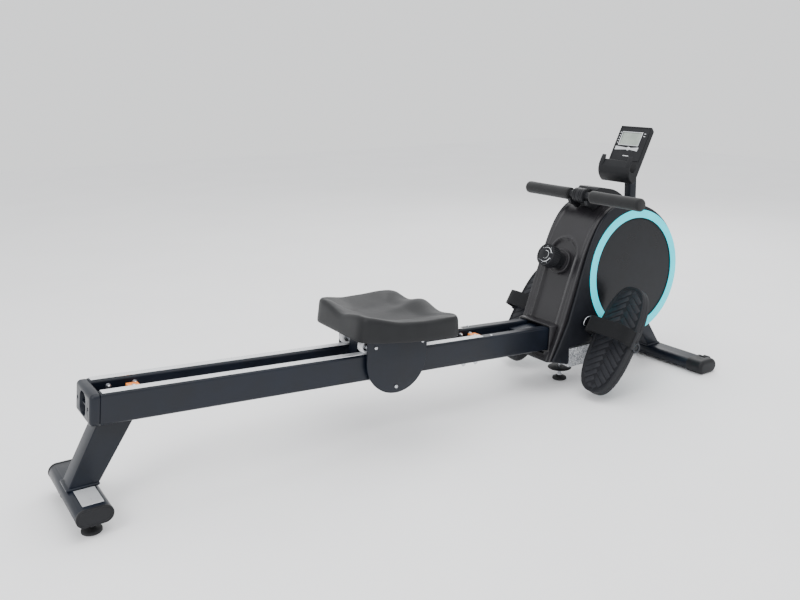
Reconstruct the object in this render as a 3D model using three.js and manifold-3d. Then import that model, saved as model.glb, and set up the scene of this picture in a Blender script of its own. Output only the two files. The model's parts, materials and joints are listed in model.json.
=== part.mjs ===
// A magnetic rowing machine, in millimetres.
// +X points from the rear foot to the flywheel housing, +Y is the rower's left, +Z is up.
// X = 0 is the rear end of the rails, Y = 0 the middle plane and Z = 0 the floor.
// The last lines centre the whole machine on X.

import * as THREE from 'three';
import { mergeVertices } from 'three/addons/utils/BufferGeometryUtils.js';
import Module from 'manifold-3d';

const wasm = await Module();
wasm.setup();

// ---------------------------------------------------------------- sizes

const gap = 0.3;                  // left between two pieces that touch
const fine = 32;                  // sides of a large round piece
const coarse = 20;                // sides of a small round piece
const round = 56;                 // sides of the rings on the housing

// Rails. Lengths along them are measured from their rear end, heights from their top face.
// What stands at the front of the machine is placed from railLength, so it moves with the rails' front end.
const railLength = 1365;
const railWidth = 30;
const railHeight = 70;
const railWall = 2;
const railCorner = 7;
const railChannel = 66;           // clear width between the two rails
const railTopAtRear = 283;
const railSlope = 0.063;          // radians, falling toward the housing
const stripStart = 26;
const stripEnd = railLength - 294;
const stripWidth = 22;
const stripThickness = 1.5;
const endCapThickness = 22;
const endCapWindowWidth = 46;
const endCapWindowHeight = 50;
const endCapWindowDepth = 14;

// Orange end stops and what holds them, between the rails
const stopLength = 27;
const stopWidth = 34;
const stopTop = -9;               // height of a stop's top, under the rail's top face
const stopSeat = -24;             // height of the steel that carries a stop
const rearStopStart = 96;
const frontStopStart = railLength - 291;
const bridgeLength = 104;
const bridgeOverhang = 14;        // how far the front bridge reaches in front of its stop

// Rear leg and its foot
const legWidth = 56;
const legWall = 3;
const legFootRear = -49;
const legFootFront = 16;
const legRearLean = 0.504;
const legFrontLean = 0.63;

// Stabilisers: flat oval tubes across the machine
const tubeDepth = 77;
const tubeHeight = 37;
const tubeWall = 2;
const rearTubeX = -18;
const rearTubeBottom = 31;
const rearTubeLength = 267;
const rearCapLength = 8;
const frontTubeX = railLength + 481;
const frontTubeLength = 486;
const frontCapLength = 58;
const frontCapGrowth = 3.5;       // how far a front cap stands out round its tube

// Levelling feet
const rearFootSpread = 95;        // from the middle plane
const footPadRadius = 22;
const footPadHeight = 9;
const footDiscRadius = 25;
const studRadius = 5;
const studReach = 12;             // length of stud inside the tube or box
const middleFootX = railLength + 60;
const middleFlangeRadius = 37;
const middleFlangeBottom = 36;

// Transport wheels
const wheelRadius = 20;
const wheelWidth = 18;
const wheelForward = 31;          // from the front tube's middle
const wheelHeight = 24;
const wheelFromEnd = 36;           // from the front stabiliser's end to a wheel's middle
const wheelClearance = 2;
const wheelPinRadius = 4;

// Steel inside and under the housing
const spineWidth = 60;
const spineBottom = 132;
const spineHeight = 58;
const spineRear = railLength - 125;
const spineFront = railLength + 447;
const spineWall = 3;
const braceDepth = 44;
const braceWidth = 50;
const braceLean = 0.684;
const braceFootOffset = -8;
const boxRear = railLength + 8;
const boxLength = 150;
const boxWidth = 190;
const boxBottom = 75;
const boxWall = 3;

// Housing
const ringX = railLength + 282.5;
const ringZ = 334;
const housingRadius = 203;
const housingRoundEnd = 30;       // degrees over level, where the round front gives way to the crown
const crownHeight = 222;          // from the ring's middle to the housing's highest point
const crownBehind = 47.5;         // how far that point is behind the ring's middle
const shoulderHeight = 211;
const housingWidth = 194;
const coverThickness = 9;
const coverInset = 15;            // the side covers stay this far inside the fairing's rear edge
const coverDrop = 2;              // and this far inside its round front
const fairingWall = 4;
const ringOuter = 197;
const ringInner = 171;
const ringStandOut = 2.5;
const collarRear = railLength - 49;
const collarLength = 34;
const collarLip = 7;

// Flywheel and strap spool
const flywheelX = railLength + 235;
const flywheelRadius = 104;
const flywheelLift = 6;           // over the steel it turns on
const flywheelZ = spineBottom + spineHeight + flywheelLift + flywheelRadius;
const flywheelWidth = 24;
const axleRadius = 8;
const forkPlate = 6;
const forkLength = 44;
const spoolX = flywheelX;
const spoolRadius = 40;
const spoolFlange = 52;
const spoolLift = 32;             // over the flywheel
const spoolZ = flywheelZ + flywheelRadius + spoolLift + spoolFlange;
const spoolWidth = 40;

// Pedals
const pedalX = railLength + 117;
const pedalZ = 158.5;
const pedalBarRadius = 12;
const pedalBarWall = 3;
const pedalBarFlange = 3;         // thickness of the flange at each end of the bar
const pedalLength = 340;
const pedalWidth = 144;
const pedalRoom = 15;             // between the housing and a pedal
const pedalMiddle = housingWidth / 2 + pedalRoom + pedalWidth / 2;
const pedalTilt = 57;             // degrees from level, heel down
const pedalDepth = 30;
const pedalWall = 5;
const pedalRound = 2.6;           // 2 is an ellipse, more is squarer
const soleAboveBar = 27;          // from the bar's axis to the sole's face
const webWidth = 48;
const webThickness = 3;
const webArch = 56;               // height of the strap's arch over the sole
const webTail = 10;               // how far its ends reach under the sole's face
const webCentre = 14;             // along the pedal, from its middle toward the toe

// Resistance knob
const knobX = railLength - 8;
const knobZ = 408;
const knobLean = 26;              // degrees, how far its axis points up
const knobRadius = 35;
const knobCapLength = 30;
const knobNeckRadius = 27;
const knobNeckLength = 32;
const knobStemRadius = 6;
const knobStemLength = 26;
const knobSeatRadius = 40;

// Handle, its cradle and its strap
const handleX = railLength + 140;
const handleZ = 577;
const handleLength = 477;
const handleTubeRadius = 12.5;
const handleTubeWall = 2;
const gripRadius = 18;
const gripStart = 45;
const bossWidth = 44;
const bossRadius = 23;
const strapWidth = 26;
const strapThickness = 3;
const strapLength = 66;
const strapRise = 10;             // degrees, the pull points rearward and up
const cradleWidth = 84;
const armWidth = 12;
const hoodRear = handleX + 26;
const hoodFront = handleX + 135;
const hoodTop = 602;

// Console
const postX = railLength + 362;
const postDepth = 34;
const postWidth = 26;
const postWall = 3;
const postTop = 720;
const consoleWidth = 130;
const consoleFaceBottomX = railLength + 325;
const consoleFaceBottomZ = 672;
const consoleFaceLength = 126;
const consoleTilt = 28.4;         // degrees from upright
const consoleThickness = 15;
const trayDepth = 36;
const buttonRadius = 7;
const buttonAlongFace = 45;
const buttonStandOut = 2.5;
const buttonTravel = 1.5;

// Seat carriage. Its middle is measured along the rails.
const seatFromStop = 303;         // from the front stop to the carriage's middle
const seatAt = frontStopStart - seatFromStop;
const seatLength = 280;
const seatRearWidth = 258;
const seatWidth = 348;            // across the wings, near the front
const seatForward = -3;           // from the carriage's middle to the cushion's middle
const seatHeight = 62;
const seatHollow = 14;
const plateOut = 75;              // outer face of a side plate, from the middle plane
const plateThickness = 5;
const plateHalf = 93;
const plateDrop = 17;             // where the half round starts, under the rail's top face
const upperRollerRadius = 17.5;
const lowerRollerRadius = 22;
const upperAxleSpacing = 172;
const lowerRollerPlay = 0.8;
const rollerHeadroom = 3.9;       // between a roller and the plate over it
const rollerWidth = 20;
const seatAxleRadius = 5;
const seatFramePlate = 9;         // the board under the cushion
const lugHalf = 92;
const lugWidth = 40;
const lugBottom = -20;
const rollerSpread = (railChannel + railWidth) / 2;
const frameTop = gap + stripThickness + 2 * upperRollerRadius + rollerHeadroom + seatFramePlate;
const seatBottom = frameTop + gap;

// ---------------------------------------------------------------- looks

const satinBlue = { color: 0x2d323b, roughness: 0.42, metalness: 0.25 };
const fairingGrey = { color: 0x46454a, roughness: 0.45, metalness: 0.05 };
const shellBlack = { color: 0x23262e, roughness: 0.5, metalness: 0.05 };
const discBlack = { color: 0x20242d, roughness: 0.35, metalness: 0.05 };
const cyan = { color: 0x7de8fa, roughness: 0.4, metalness: 0 };
const seatGrey = { color: 0x4a4b4d, roughness: 0.6, metalness: 0 };
const rubberBlack = { color: 0x1d1e21, roughness: 0.8, metalness: 0 };
const orange = { color: 0xf08a24, roughness: 0.55, metalness: 0 };
const brightSteel = { color: 0xd8dade, roughness: 0.25, metalness: 1 };
const rollerGrey = { color: 0xc9cbd0, roughness: 0.45, metalness: 0 };
const speckledGrey = { color: 0x8a8d93, roughness: 0.55, metalness: 0.3 };
const plasticBlack = { color: 0x26272b, roughness: 0.5, metalness: 0 };
const webbing = { color: 0x17181b, roughness: 0.85, metalness: 0 };
const buttonGrey = { color: 0xb5b8bd, roughness: 0.35, metalness: 0.4 };

// ---------------------------------------------------------------- tools

const axisX = new THREE.Vector3(1, 0, 0);
const axisY = new THREE.Vector3(0, 1, 0);
const axisZ = new THREE.Vector3(0, 0, 1);

function radians(degrees) {
  return THREE.MathUtils.degToRad(degrees);
}

function solid(geometry) {
  const bare = geometry.clone();
  bare.deleteAttribute('normal');
  bare.deleteAttribute('uv');
  const merged = mergeVertices(bare, 1e-4);
  return new wasm.Manifold(new wasm.Mesh({
    numProp: 3,
    vertProperties: new Float32Array(merged.attributes.position.array),
    triVerts: new Uint32Array(merged.index.array),
  }));
}

function geometryOf(manifold) {
  const mesh = manifold.getMesh();
  const geometry = new THREE.BufferGeometry();
  geometry.setAttribute('position', new THREE.BufferAttribute(new Float32Array(mesh.vertProperties), 3));
  geometry.setIndex(new THREE.BufferAttribute(new Uint32Array(mesh.triVerts), 1));
  return geometry;
}

function cut(body, ...tools) {
  const left = tools.reduce((rest, tool) => rest.subtract(solid(tool)), solid(body));
  return geometryOf(left);
}

function join(body, ...others) {
  const whole = others.reduce((sum, other) => sum.add(solid(other)), solid(body));
  return geometryOf(whole);
}

function block(x0, x1, y0, y1, z0, z1) {
  const geometry = new THREE.BoxGeometry(x1 - x0, y1 - y0, z1 - z0);
  return geometry.translate((x0 + x1) / 2, (y0 + y1) / 2, (z0 + z1) / 2);
}

// A round bar centred on (x, y, z) along the given axis.
function bar(radius, length, axis, x, y, z, sides = coarse) {
  const geometry = new THREE.CylinderGeometry(radius, radius, length, sides);
  geometry.applyQuaternion(new THREE.Quaternion().setFromUnitVectors(axisY, axis));
  return geometry.translate(x, y, z);
}

// A turned piece: points are [radius, height], the axis starts at the origin and runs along axis.
function turned(points, axis, x, y, z, sides = coarse) {
  const profile = points.map(([radius, height]) => new THREE.Vector2(radius, height));
  const geometry = new THREE.LatheGeometry(profile, sides);
  geometry.applyQuaternion(new THREE.Quaternion().setFromUnitVectors(axisY, axis));
  return geometry.translate(x, y, z);
}

// A shape drawn in X and Z, extruded evenly about y = middle.
function acrossY(shape, width, middle = 0, curveSegments = 10) {
  const geometry = new THREE.ExtrudeGeometry(shape, { depth: width, bevelEnabled: false, curveSegments });
  geometry.translate(0, 0, -width / 2);
  geometry.applyMatrix4(new THREE.Matrix4().makeBasis(axisX, axisZ, axisY.clone().negate()));
  return geometry.translate(0, middle, 0);
}

// A shape drawn in Y and Z, extruded from x = start.
function alongX(shape, length, start, curveSegments = 4) {
  const geometry = new THREE.ExtrudeGeometry(shape, { depth: length, bevelEnabled: false, curveSegments });
  geometry.applyMatrix4(new THREE.Matrix4().makeBasis(axisY, axisZ, axisX));
  return geometry.translate(start, 0, 0);
}

function roundedRectangle(width, height, radius, centreX = 0, centreY = 0) {
  const shape = new THREE.Shape();
  const right = centreX + width / 2 - radius;
  const left = centreX - width / 2 + radius;
  const top = centreY + height / 2 - radius;
  const bottom = centreY - height / 2 + radius;
  shape.absarc(right, top, radius, 0, Math.PI / 2, false);
  shape.absarc(left, top, radius, Math.PI / 2, Math.PI, false);
  shape.absarc(left, bottom, radius, Math.PI, Math.PI * 1.5, false);
  shape.absarc(right, bottom, radius, Math.PI * 1.5, Math.PI * 2, false);
  shape.closePath();
  return shape;
}

function flatOval(width, height, centreX, centreY) {
  return roundedRectangle(width, height, height / 2 - 0.01, centreX, centreY);
}

function polygon(points) {
  return new THREE.Shape(points.map(([a, b]) => new THREE.Vector2(a, b)));
}

function place(parent, name, geometry, look) {
  const mesh = new THREE.Mesh(geometry, new THREE.MeshStandardMaterial(look));
  mesh.name = name;
  parent.add(mesh);
  return mesh;
}

const sides = [['left', 1], ['right', -1]];
const machine = new THREE.Group();

// Everything on the rails is drawn level in this group, which is then tilted.
const track = new THREE.Group();
track.position.set(0, 0, railTopAtRear);
track.rotation.y = railSlope;
machine.add(track);

// Height of the rails' top face over the floor, at a length along them.
function railTopZ(along) {
  return railTopAtRear - along * Math.sin(railSlope);
}

// ---------------------------------------------------------------- rails

const railOuter = railChannel / 2 + railWidth;
for (const [side, way] of sides) {
  const middle = way * rollerSpread;
  const profile = roundedRectangle(railWidth, railHeight, railCorner, middle, -railHeight / 2);
  const inside = roundedRectangle(railWidth - 2 * railWall, railHeight - 2 * railWall,
    railCorner - railWall, middle, -railHeight / 2);
  profile.holes.push(new THREE.Path(inside.getPoints(4)));
  const start = endCapThickness + gap;
  place(track, `rail_${side}`, alongX(profile, railLength - start, start), satinBlue);
  place(track, `rail_strip_${side}`, block(stripStart, stripEnd, middle - stripWidth / 2,
    middle + stripWidth / 2, gap, gap + stripThickness), brightSteel);
}

// The end cap closes both rails and the channel, with a hand-sized window in its rear face.
const capShape = roundedRectangle(2 * railOuter, railHeight, railCorner + 2, 0, -railHeight / 2);
const windowShape = roundedRectangle(endCapWindowWidth, endCapWindowHeight, 16, 0, -railHeight / 2);
place(track, 'rail_end_cap', cut(
  alongX(capShape, endCapThickness, 0),
  alongX(windowShape, endCapWindowDepth + 1, -1),
), satinBlue);

// The front stop stands on a steel bridge bolted between the rails.
const bridgeFront = frontStopStart + stopLength + bridgeOverhang;
const channelFill = railChannel / 2 - gap;
place(track, 'stop_bridge', cut(
  block(bridgeFront - bridgeLength, bridgeFront, -channelFill, channelFill, 2 - railHeight, stopSeat),
  block(bridgeFront - bridgeLength - 1, bridgeFront + 1, 3 - channelFill, channelFill - 3,
    1 - railHeight, stopSeat - 3),
), satinBlue);
for (const [name, start] of [['rear_stop', rearStopStart], ['front_stop', frontStopStart]]) {
  place(track, name, block(start, start + stopLength, -stopWidth / 2, stopWidth / 2,
    stopSeat + gap, stopTop), orange);
}

// ---------------------------------------------------------------- rear leg and stabiliser

const rearTubeTop = rearTubeBottom + tubeHeight;
const legBase = rearTubeTop + gap;

// The leg's outline: its top end is parallel to the rails, at the height that carries the rear stop.
function legOutline(inset, baseZ) {
  const seat = stopSeat - inset;
  const level = (x) => railTopAtRear + seat - x * Math.tan(railSlope);
  const rearBase = legFootRear + inset * 1.12;
  const frontBase = legFootFront - inset * 1.12;
  const topRear = (rearBase + legRearLean * (level(0) - legBase)) / (1 + legRearLean * Math.tan(railSlope));
  const topFront = (frontBase + legFrontLean * (level(0) - legBase)) / (1 + legFrontLean * Math.tan(railSlope));
  return polygon([
    [rearBase + legRearLean * (baseZ - legBase), baseZ],
    [frontBase + legFrontLean * (baseZ - legBase), baseZ],
    [topFront, level(topFront)],
    [topRear, level(topRear)],
  ]);
}

place(machine, 'rear_leg', cut(
  acrossY(legOutline(0, legBase), legWidth),
  acrossY(legOutline(legWall, legBase - 1), legWidth - 2 * legWall),
), satinBlue);

// A flat oval tube across the machine.
function ovalTube(centreX, bottom, length) {
  const middle = bottom + tubeHeight / 2;
  const profile = flatOval(tubeDepth, tubeHeight, centreX, middle);
  const inside = flatOval(tubeDepth - 2 * tubeWall, tubeHeight - 2 * tubeWall, centreX, middle);
  profile.holes.push(new THREE.Path(inside.getPoints(8)));
  return acrossY(profile, length, 0, 8);
}

const rearTube = ovalTube(rearTubeX, rearTubeBottom, rearTubeLength - 2 * rearCapLength);
const footHoles = sides.map(([, way]) => bar(studRadius + gap, 12, axisZ, rearTubeX,
  way * rearFootSpread, rearTubeBottom));
place(machine, 'rear_stabiliser', cut(rearTube, ...footHoles), satinBlue);
for (const [side, way] of sides) {
  const capMiddle = way * (rearTubeLength - rearCapLength + gap) / 2;
  const capOval = flatOval(tubeDepth, tubeHeight, rearTubeX, rearTubeBottom + tubeHeight / 2);
  place(machine, `rear_cap_${side}`, acrossY(capOval, rearCapLength - gap, capMiddle, 8), plasticBlack);
}

// A levelling foot: rubber pad, steel disc and stud, turned about Z.
function levellingFoot(discRadius, discBottom, studTop, x, y) {
  return turned([
    [0, 0], [footPadRadius, 0], [footPadRadius, footPadHeight - 3], [footPadRadius - 4, footPadHeight],
    [studRadius + 3, footPadHeight + 4], [studRadius + 3, discBottom], [discRadius - 2, discBottom],
    [discRadius, discBottom + 2], [discRadius, discBottom + 4], [studRadius, discBottom + 6],
    [studRadius, studTop], [0, studTop],
  ], axisZ, x, y, 0);
}

for (const [side, way] of sides) {
  place(machine, `rear_foot_${side}`, levellingFoot(footDiscRadius, rearTubeBottom - 9,
    rearTubeBottom + studReach, rearTubeX, way * rearFootSpread), rubberBlack);
}

// ---------------------------------------------------------------- front stabiliser and wheels

const frontTubeMiddle = frontCapGrowth + tubeHeight / 2;
const frontTubeInner = frontTubeLength - 2 * frontCapLength;
place(machine, 'front_stabiliser', ovalTube(frontTubeX, frontCapGrowth, frontTubeInner), satinBlue);
const wheelX = frontTubeX + wheelForward;
const wheelSpread = frontTubeLength / 2 - wheelFromEnd;
for (const [side, way] of sides) {
  const capMiddle = way * (frontTubeInner + frontCapLength + gap) / 2;
  const capOval = flatOval(tubeDepth + 2 * frontCapGrowth, tubeHeight + 2 * frontCapGrowth,
    frontTubeX, frontTubeMiddle);
  const slotHalf = wheelWidth / 2 + wheelClearance;
  const slotReach = wheelRadius + wheelClearance;
  const wheelY = way * wheelSpread;
  const slotted = cut(
    acrossY(capOval, frontCapLength - gap, capMiddle, 8),
    block(wheelX - slotReach, wheelX + 2 * slotReach, wheelY - slotHalf, wheelY + slotHalf, -1, 60),
  );
  place(machine, `front_cap_${side}`, join(slotted,
    bar(wheelPinRadius, 2 * slotHalf + 6, axisY, wheelX, wheelY, wheelHeight)), plasticBlack);
  place(machine, `transport_wheel_${side}`, turned([
    [wheelPinRadius + gap, -wheelWidth / 2], [wheelRadius - 2, -wheelWidth / 2],
    [wheelRadius, 2 - wheelWidth / 2], [wheelRadius, wheelWidth / 2 - 2],
    [wheelRadius - 2, wheelWidth / 2], [wheelPinRadius + gap, wheelWidth / 2],
    [wheelPinRadius + gap, -wheelWidth / 2],
  ], axisY, wheelX, wheelY, wheelHeight), rubberBlack);
}

// ---------------------------------------------------------------- steel under the housing

const spineTop = spineBottom + spineHeight;
const forkInner = flywheelWidth / 2 + 6;
const forks = sides.map(([, way]) => block(flywheelX - forkLength / 2, flywheelX + forkLength / 2,
  Math.min(way * forkInner, way * (forkInner + forkPlate)), Math.max(way * forkInner, way * (forkInner + forkPlate)),
  spineTop - 1, flywheelZ + forkLength / 2));
const axleHole = bar(axleRadius + gap, 80, axisY, flywheelX, 0, flywheelZ);
const spine = cut(
  block(spineRear, spineFront, -spineWidth / 2, spineWidth / 2, spineBottom, spineTop),
  block(spineRear - 1, spineFront + 1, spineWall - spineWidth / 2, spineWidth / 2 - spineWall,
    spineBottom + spineWall, spineTop - spineWall),
);
const pedalBarHole = bar(pedalBarRadius + gap, spineWidth + 2, axisY, pedalX, 0, pedalZ);
place(machine, 'main_frame', cut(join(spine, ...forks), axleHole, pedalBarHole), satinBlue);

// The brace comes down from the spine to the front stabiliser.
const braceTop = spineBottom - gap;
const braceBottom = frontCapGrowth + tubeHeight + gap;
function braceOutline(inset, extra) {
  const half = braceDepth / 2 * Math.sqrt(1 + braceLean * braceLean) - inset;
  const foot = frontTubeX + braceFootOffset;
  const at = (z) => foot - braceLean * (z - braceBottom);
  const low = braceBottom - extra;
  const high = braceTop + extra;
  return polygon([[at(low) - half, low], [at(low) + half, low], [at(high) + half, high], [at(high) - half, high]]);
}
place(machine, 'front_brace', cut(
  acrossY(braceOutline(0, 0), braceWidth),
  acrossY(braceOutline(spineWall, 1), braceWidth - 2 * spineWall),
), satinBlue);

// The speckled box under the housing, with a hole for the middle foot's stud.
const boxTop = spineBottom - gap;
place(machine, 'base_box', cut(
  block(boxRear, boxRear + boxLength, -boxWidth / 2, boxWidth / 2, boxBottom, boxTop),
  block(boxRear + boxWall, boxRear + boxLength - boxWall, boxWall - boxWidth / 2, boxWidth / 2 - boxWall,
    boxBottom + boxWall, boxTop - boxWall),
  bar(studRadius + gap, 12, axisZ, middleFootX, 0, boxBottom),
), speckledGrey);
place(machine, 'middle_foot', levellingFoot(middleFlangeRadius, middleFlangeBottom,
  boxBottom + studReach, middleFootX, 0), rubberBlack);

// ---------------------------------------------------------------- housing

// The housing's outline in X and Z. A rear inset moves its rear edge forward, a drop shrinks its round.
function housingOutline(rearInset, drop) {
  const radius = housingRadius - drop;
  const outline = new THREE.Shape();
  const roundEnd = radians(housingRoundEnd);
  const roundTop = [ringX + radius * Math.cos(roundEnd), ringZ + radius * Math.sin(roundEnd)];
  const crown = [ringX - crownBehind, ringZ + crownHeight - drop];
  const shoulderX = railLength - 15 + rearInset;
  const notchTop = boxTop + 1.5 + drop;
  const meetX = ringX - Math.sqrt(radius * radius - (ringZ - notchTop) ** 2);
  outline.moveTo(railLength - 69 + rearInset * 0.4, 102 + drop);
  outline.lineTo(boxRear - 1.5 - drop, 82 + drop);
  outline.lineTo(boxRear - 1.5 - drop, notchTop);
  outline.lineTo(meetX, notchTop);
  const startAngle = Math.atan2(notchTop - ringZ, meetX - ringX);
  outline.absarc(ringX, ringZ, radius, startAngle, roundEnd, false);
  outline.bezierCurveTo(roundTop[0] - 85 * Math.sin(roundEnd), roundTop[1] + 85 * Math.cos(roundEnd),
    crown[0] + 100, crown[1], ...crown);
  outline.bezierCurveTo(crown[0] - 134, crown[1], shoulderX + 78, shoulderHeight + 194, shoulderX, shoulderHeight);
  outline.lineTo(railLength - 47 + rearInset * 0.7, 145);
  outline.closePath();
  return outline;
}

// What the rails, the spine and the post need to pass through.
const railPassage = alongX(roundedRectangle(2 * railOuter + 2, railHeight + 2, railCorner + 1, 0, -railHeight / 2),
  500, collarRear - 200);
railPassage.applyMatrix4(new THREE.Matrix4().makeRotationY(railSlope));
railPassage.translate(0, 0, railTopAtRear);
const postHole = block(postX - postDepth / 2 - 0.5, postX + postDepth / 2 + 0.5,
  -postWidth / 2 - 0.5, postWidth / 2 + 0.5, ringZ, postTop);
const strapHole = block(spoolX - 22, spoolX + 6, -strapWidth / 2 - 4, strapWidth / 2 + 4, ringZ + 190, 572);

// The knob's axis, and the point on the fascia where it is seated.
const knobAxis = new THREE.Vector3(-Math.cos(radians(knobLean)), 0, Math.sin(radians(knobLean)));
const knobReach = knobCapLength + knobNeckLength;
const knobFace = new THREE.Vector3(knobX, 0, knobZ);
const knobSeat = knobFace.clone().addScaledVector(knobAxis, -knobReach);
const knobBossLength = 26;
const knobBossMiddle = knobSeat.clone().addScaledVector(knobAxis, -gap - knobBossLength / 2);

const fairingWidth = housingWidth - 2 * (coverThickness + gap);
const collar = block(collarRear, collarRear + collarLength, -railOuter - collarLip, railOuter + collarLip,
  -railHeight - collarLip, collarLip);
collar.applyMatrix4(new THREE.Matrix4().makeRotationY(railSlope));
collar.translate(0, 0, railTopAtRear);
const fairingInside = acrossY(housingOutline(fairingWall * 1.3, fairingWall), fairingWidth + 2, 0, 16);
const fairingBand = cut(acrossY(housingOutline(0, 0), fairingWidth, 0, 16), fairingInside);
const knobBoss = bar(knobSeatRadius, knobBossLength, knobAxis, knobBossMiddle.x, 0, knobBossMiddle.z, fine);
const spinePassage = block(spineRear, spineFront + 80, -spineWidth / 2 - 1, spineWidth / 2 + 1,
  spineBottom - 1, spineTop + 1);
const bracePassage = acrossY(braceOutline(-1.5, 40), braceWidth + 3);
place(machine, 'center_fairing', cut(
  join(fairingBand, collar, knobBoss),
  railPassage,
  spinePassage,
  bracePassage,
  postHole,
  strapHole,
  bar(knobStemRadius + gap, 120, knobAxis, knobSeat.x, 0, knobSeat.z),
), fairingGrey);

for (const [side, way] of sides) {
  const middle = way * (housingWidth - coverThickness) / 2;
  const outer = way * housingWidth / 2;
  place(machine, `housing_cover_${side}`, cut(
    acrossY(housingOutline(coverInset, coverDrop), coverThickness, middle, 16),
    bar(ringInner + gap, 3 * coverThickness, axisY, ringX, middle, ringZ, round),
    bar(pedalBarRadius + 4, 3 * coverThickness, axisY, pedalX, middle, pedalZ),
  ), shellBlack);
  place(machine, `housing_disc_${side}`, bar(ringInner, coverThickness - 2, axisY,
    ringX, way * (housingWidth / 2 - coverThickness / 2), ringZ, round), discBlack);
  place(machine, `light_ring_${side}`, turned([
    [ringInner + gap, 0], [ringOuter, 0], [ringOuter, ringStandOut - 1], [ringOuter - 1, ringStandOut],
    [ringInner + gap, ringStandOut], [ringInner + gap, 0],
  ], new THREE.Vector3(0, way, 0), ringX, outer + way * gap, ringZ, round), cyan);
}

// ---------------------------------------------------------------- flywheel and spool

place(machine, 'flywheel', turned([
  [0, -forkInner - forkPlate - 4], [axleRadius, -forkInner - forkPlate - 4], [axleRadius, -flywheelWidth / 2 - 4],
  [30, -flywheelWidth / 2 - 4], [30, 4 - flywheelWidth / 2], [flywheelRadius - 18, 4 - flywheelWidth / 2],
  [flywheelRadius - 18, -flywheelWidth / 2], [flywheelRadius, -flywheelWidth / 2],
  [flywheelRadius, flywheelWidth / 2], [flywheelRadius - 18, flywheelWidth / 2],
  [flywheelRadius - 18, flywheelWidth / 2 - 4], [30, flywheelWidth / 2 - 4], [30, flywheelWidth / 2 + 4],
  [axleRadius, flywheelWidth / 2 + 4], [axleRadius, forkInner + forkPlate + 4], [0, forkInner + forkPlate + 4],
], axisY, flywheelX, 0, flywheelZ, fine), brightSteel);

place(machine, 'strap_spool', turned([
  [0, -spoolWidth / 2 - 10], [axleRadius, -spoolWidth / 2 - 10], [axleRadius, -spoolWidth / 2],
  [spoolFlange, -spoolWidth / 2], [spoolFlange, 3 - spoolWidth / 2], [spoolRadius, 3 - spoolWidth / 2],
  [spoolRadius, spoolWidth / 2 - 3], [spoolFlange, spoolWidth / 2 - 3], [spoolFlange, spoolWidth / 2],
  [axleRadius, spoolWidth / 2], [axleRadius, spoolWidth / 2 + 10], [0, spoolWidth / 2 + 10],
], axisY, spoolX, 0, spoolZ, fine), plasticBlack);

// ---------------------------------------------------------------- pedals

const flangeMiddle = pedalMiddle + pedalWidth / 2 + gap + pedalBarFlange / 2;
const solidPedalBar = join(
  bar(pedalBarRadius, 2 * flangeMiddle, axisY, pedalX, 0, pedalZ),
  ...sides.map(([, way]) => bar(pedalBarRadius + 4, pedalBarFlange, axisY, pedalX, way * flangeMiddle, pedalZ)),
);
place(machine, 'pedal_bar', cut(
  solidPedalBar,
  bar(pedalBarRadius - pedalBarWall, 2 * flangeMiddle + 10, axisY, pedalX, 0, pedalZ),
), satinBlue);

// The sole's outline: a rounded figure between an ellipse and a rectangle, drawn along X and Y.
function soleOutline(inset) {
  const steps = 44;
  const power = 2 / pedalRound;
  const points = [];
  for (let step = 0; step < steps; step += 1) {
    const turn = 2 * Math.PI * step / steps;
    const along = Math.cos(turn);
    const across = Math.sin(turn);
    points.push(new THREE.Vector2(
      (pedalLength / 2 - inset) * Math.sign(along) * Math.abs(along) ** power,
      (pedalWidth / 2 - inset) * Math.sign(across) * Math.abs(across) ** power,
    ));
  }
  return new THREE.Shape(points);
}

// The strap's path in Y and Z over the sole: it leaves one side, arches over and enters the other.
function webOutline(grow) {
  const half = pedalWidth / 2 + 2 + grow;
  const height = webArch + grow;
  const shape = new THREE.Shape();
  shape.moveTo(half, -webTail);
  shape.lineTo(half, 12);
  shape.bezierCurveTo(half, height, half * 0.72, height, 0, height);
  shape.bezierCurveTo(-half * 0.72, height, -half, height, -half, 12);
  shape.lineTo(-half, -webTail);
  shape.closePath();
  return shape;
}

for (const [side, way] of sides) {
  const pedal = new THREE.Group();
  pedal.position.set(pedalX, way * pedalMiddle, pedalZ);
  pedal.rotation.y = -radians(pedalTilt);
  machine.add(pedal);
  const shell = new THREE.ExtrudeGeometry(soleOutline(0), { depth: pedalDepth, bevelEnabled: false });
  shell.translate(0, 0, soleAboveBar - pedalDepth);
  const hollow = new THREE.ExtrudeGeometry(soleOutline(pedalWall), { depth: pedalDepth, bevelEnabled: false });
  hollow.translate(0, 0, soleAboveBar - pedalDepth - pedalWall);
  const hubLength = pedalWidth - 2 * pedalWall + 2;
  const hub = bar(pedalBarRadius + 5, hubLength, axisY, 0, 0, 0);
  const shoe = join(cut(shell, hollow), hub);
  place(pedal, `pedal_${side}`, cut(shoe, bar(pedalBarRadius + gap, 2 * pedalWidth, axisY, 0, 0, 0)), rubberBlack);
  const arch = alongX(webOutline(webThickness), webWidth, webCentre - webWidth / 2, 8);
  const under = alongX(webOutline(0), webWidth + 2, webCentre - webWidth / 2 - 1, 8);
  place(pedal, `foot_strap_${side}`, cut(arch, under), webbing).position.z = soleAboveBar;
}

// ---------------------------------------------------------------- resistance knob

place(machine, 'resistance_knob', turned([
  [0, -knobStemLength], [knobStemRadius, -knobStemLength], [knobStemRadius, 0.5], [knobNeckRadius, 0.5],
  [knobNeckRadius, knobNeckLength], [knobRadius, knobNeckLength + 3], [knobRadius, knobReach - 3],
  [knobRadius - 3, knobReach], [0, knobReach],
], knobAxis, knobSeat.x, 0, knobSeat.z, fine), plasticBlack);

// ---------------------------------------------------------------- handle

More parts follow.
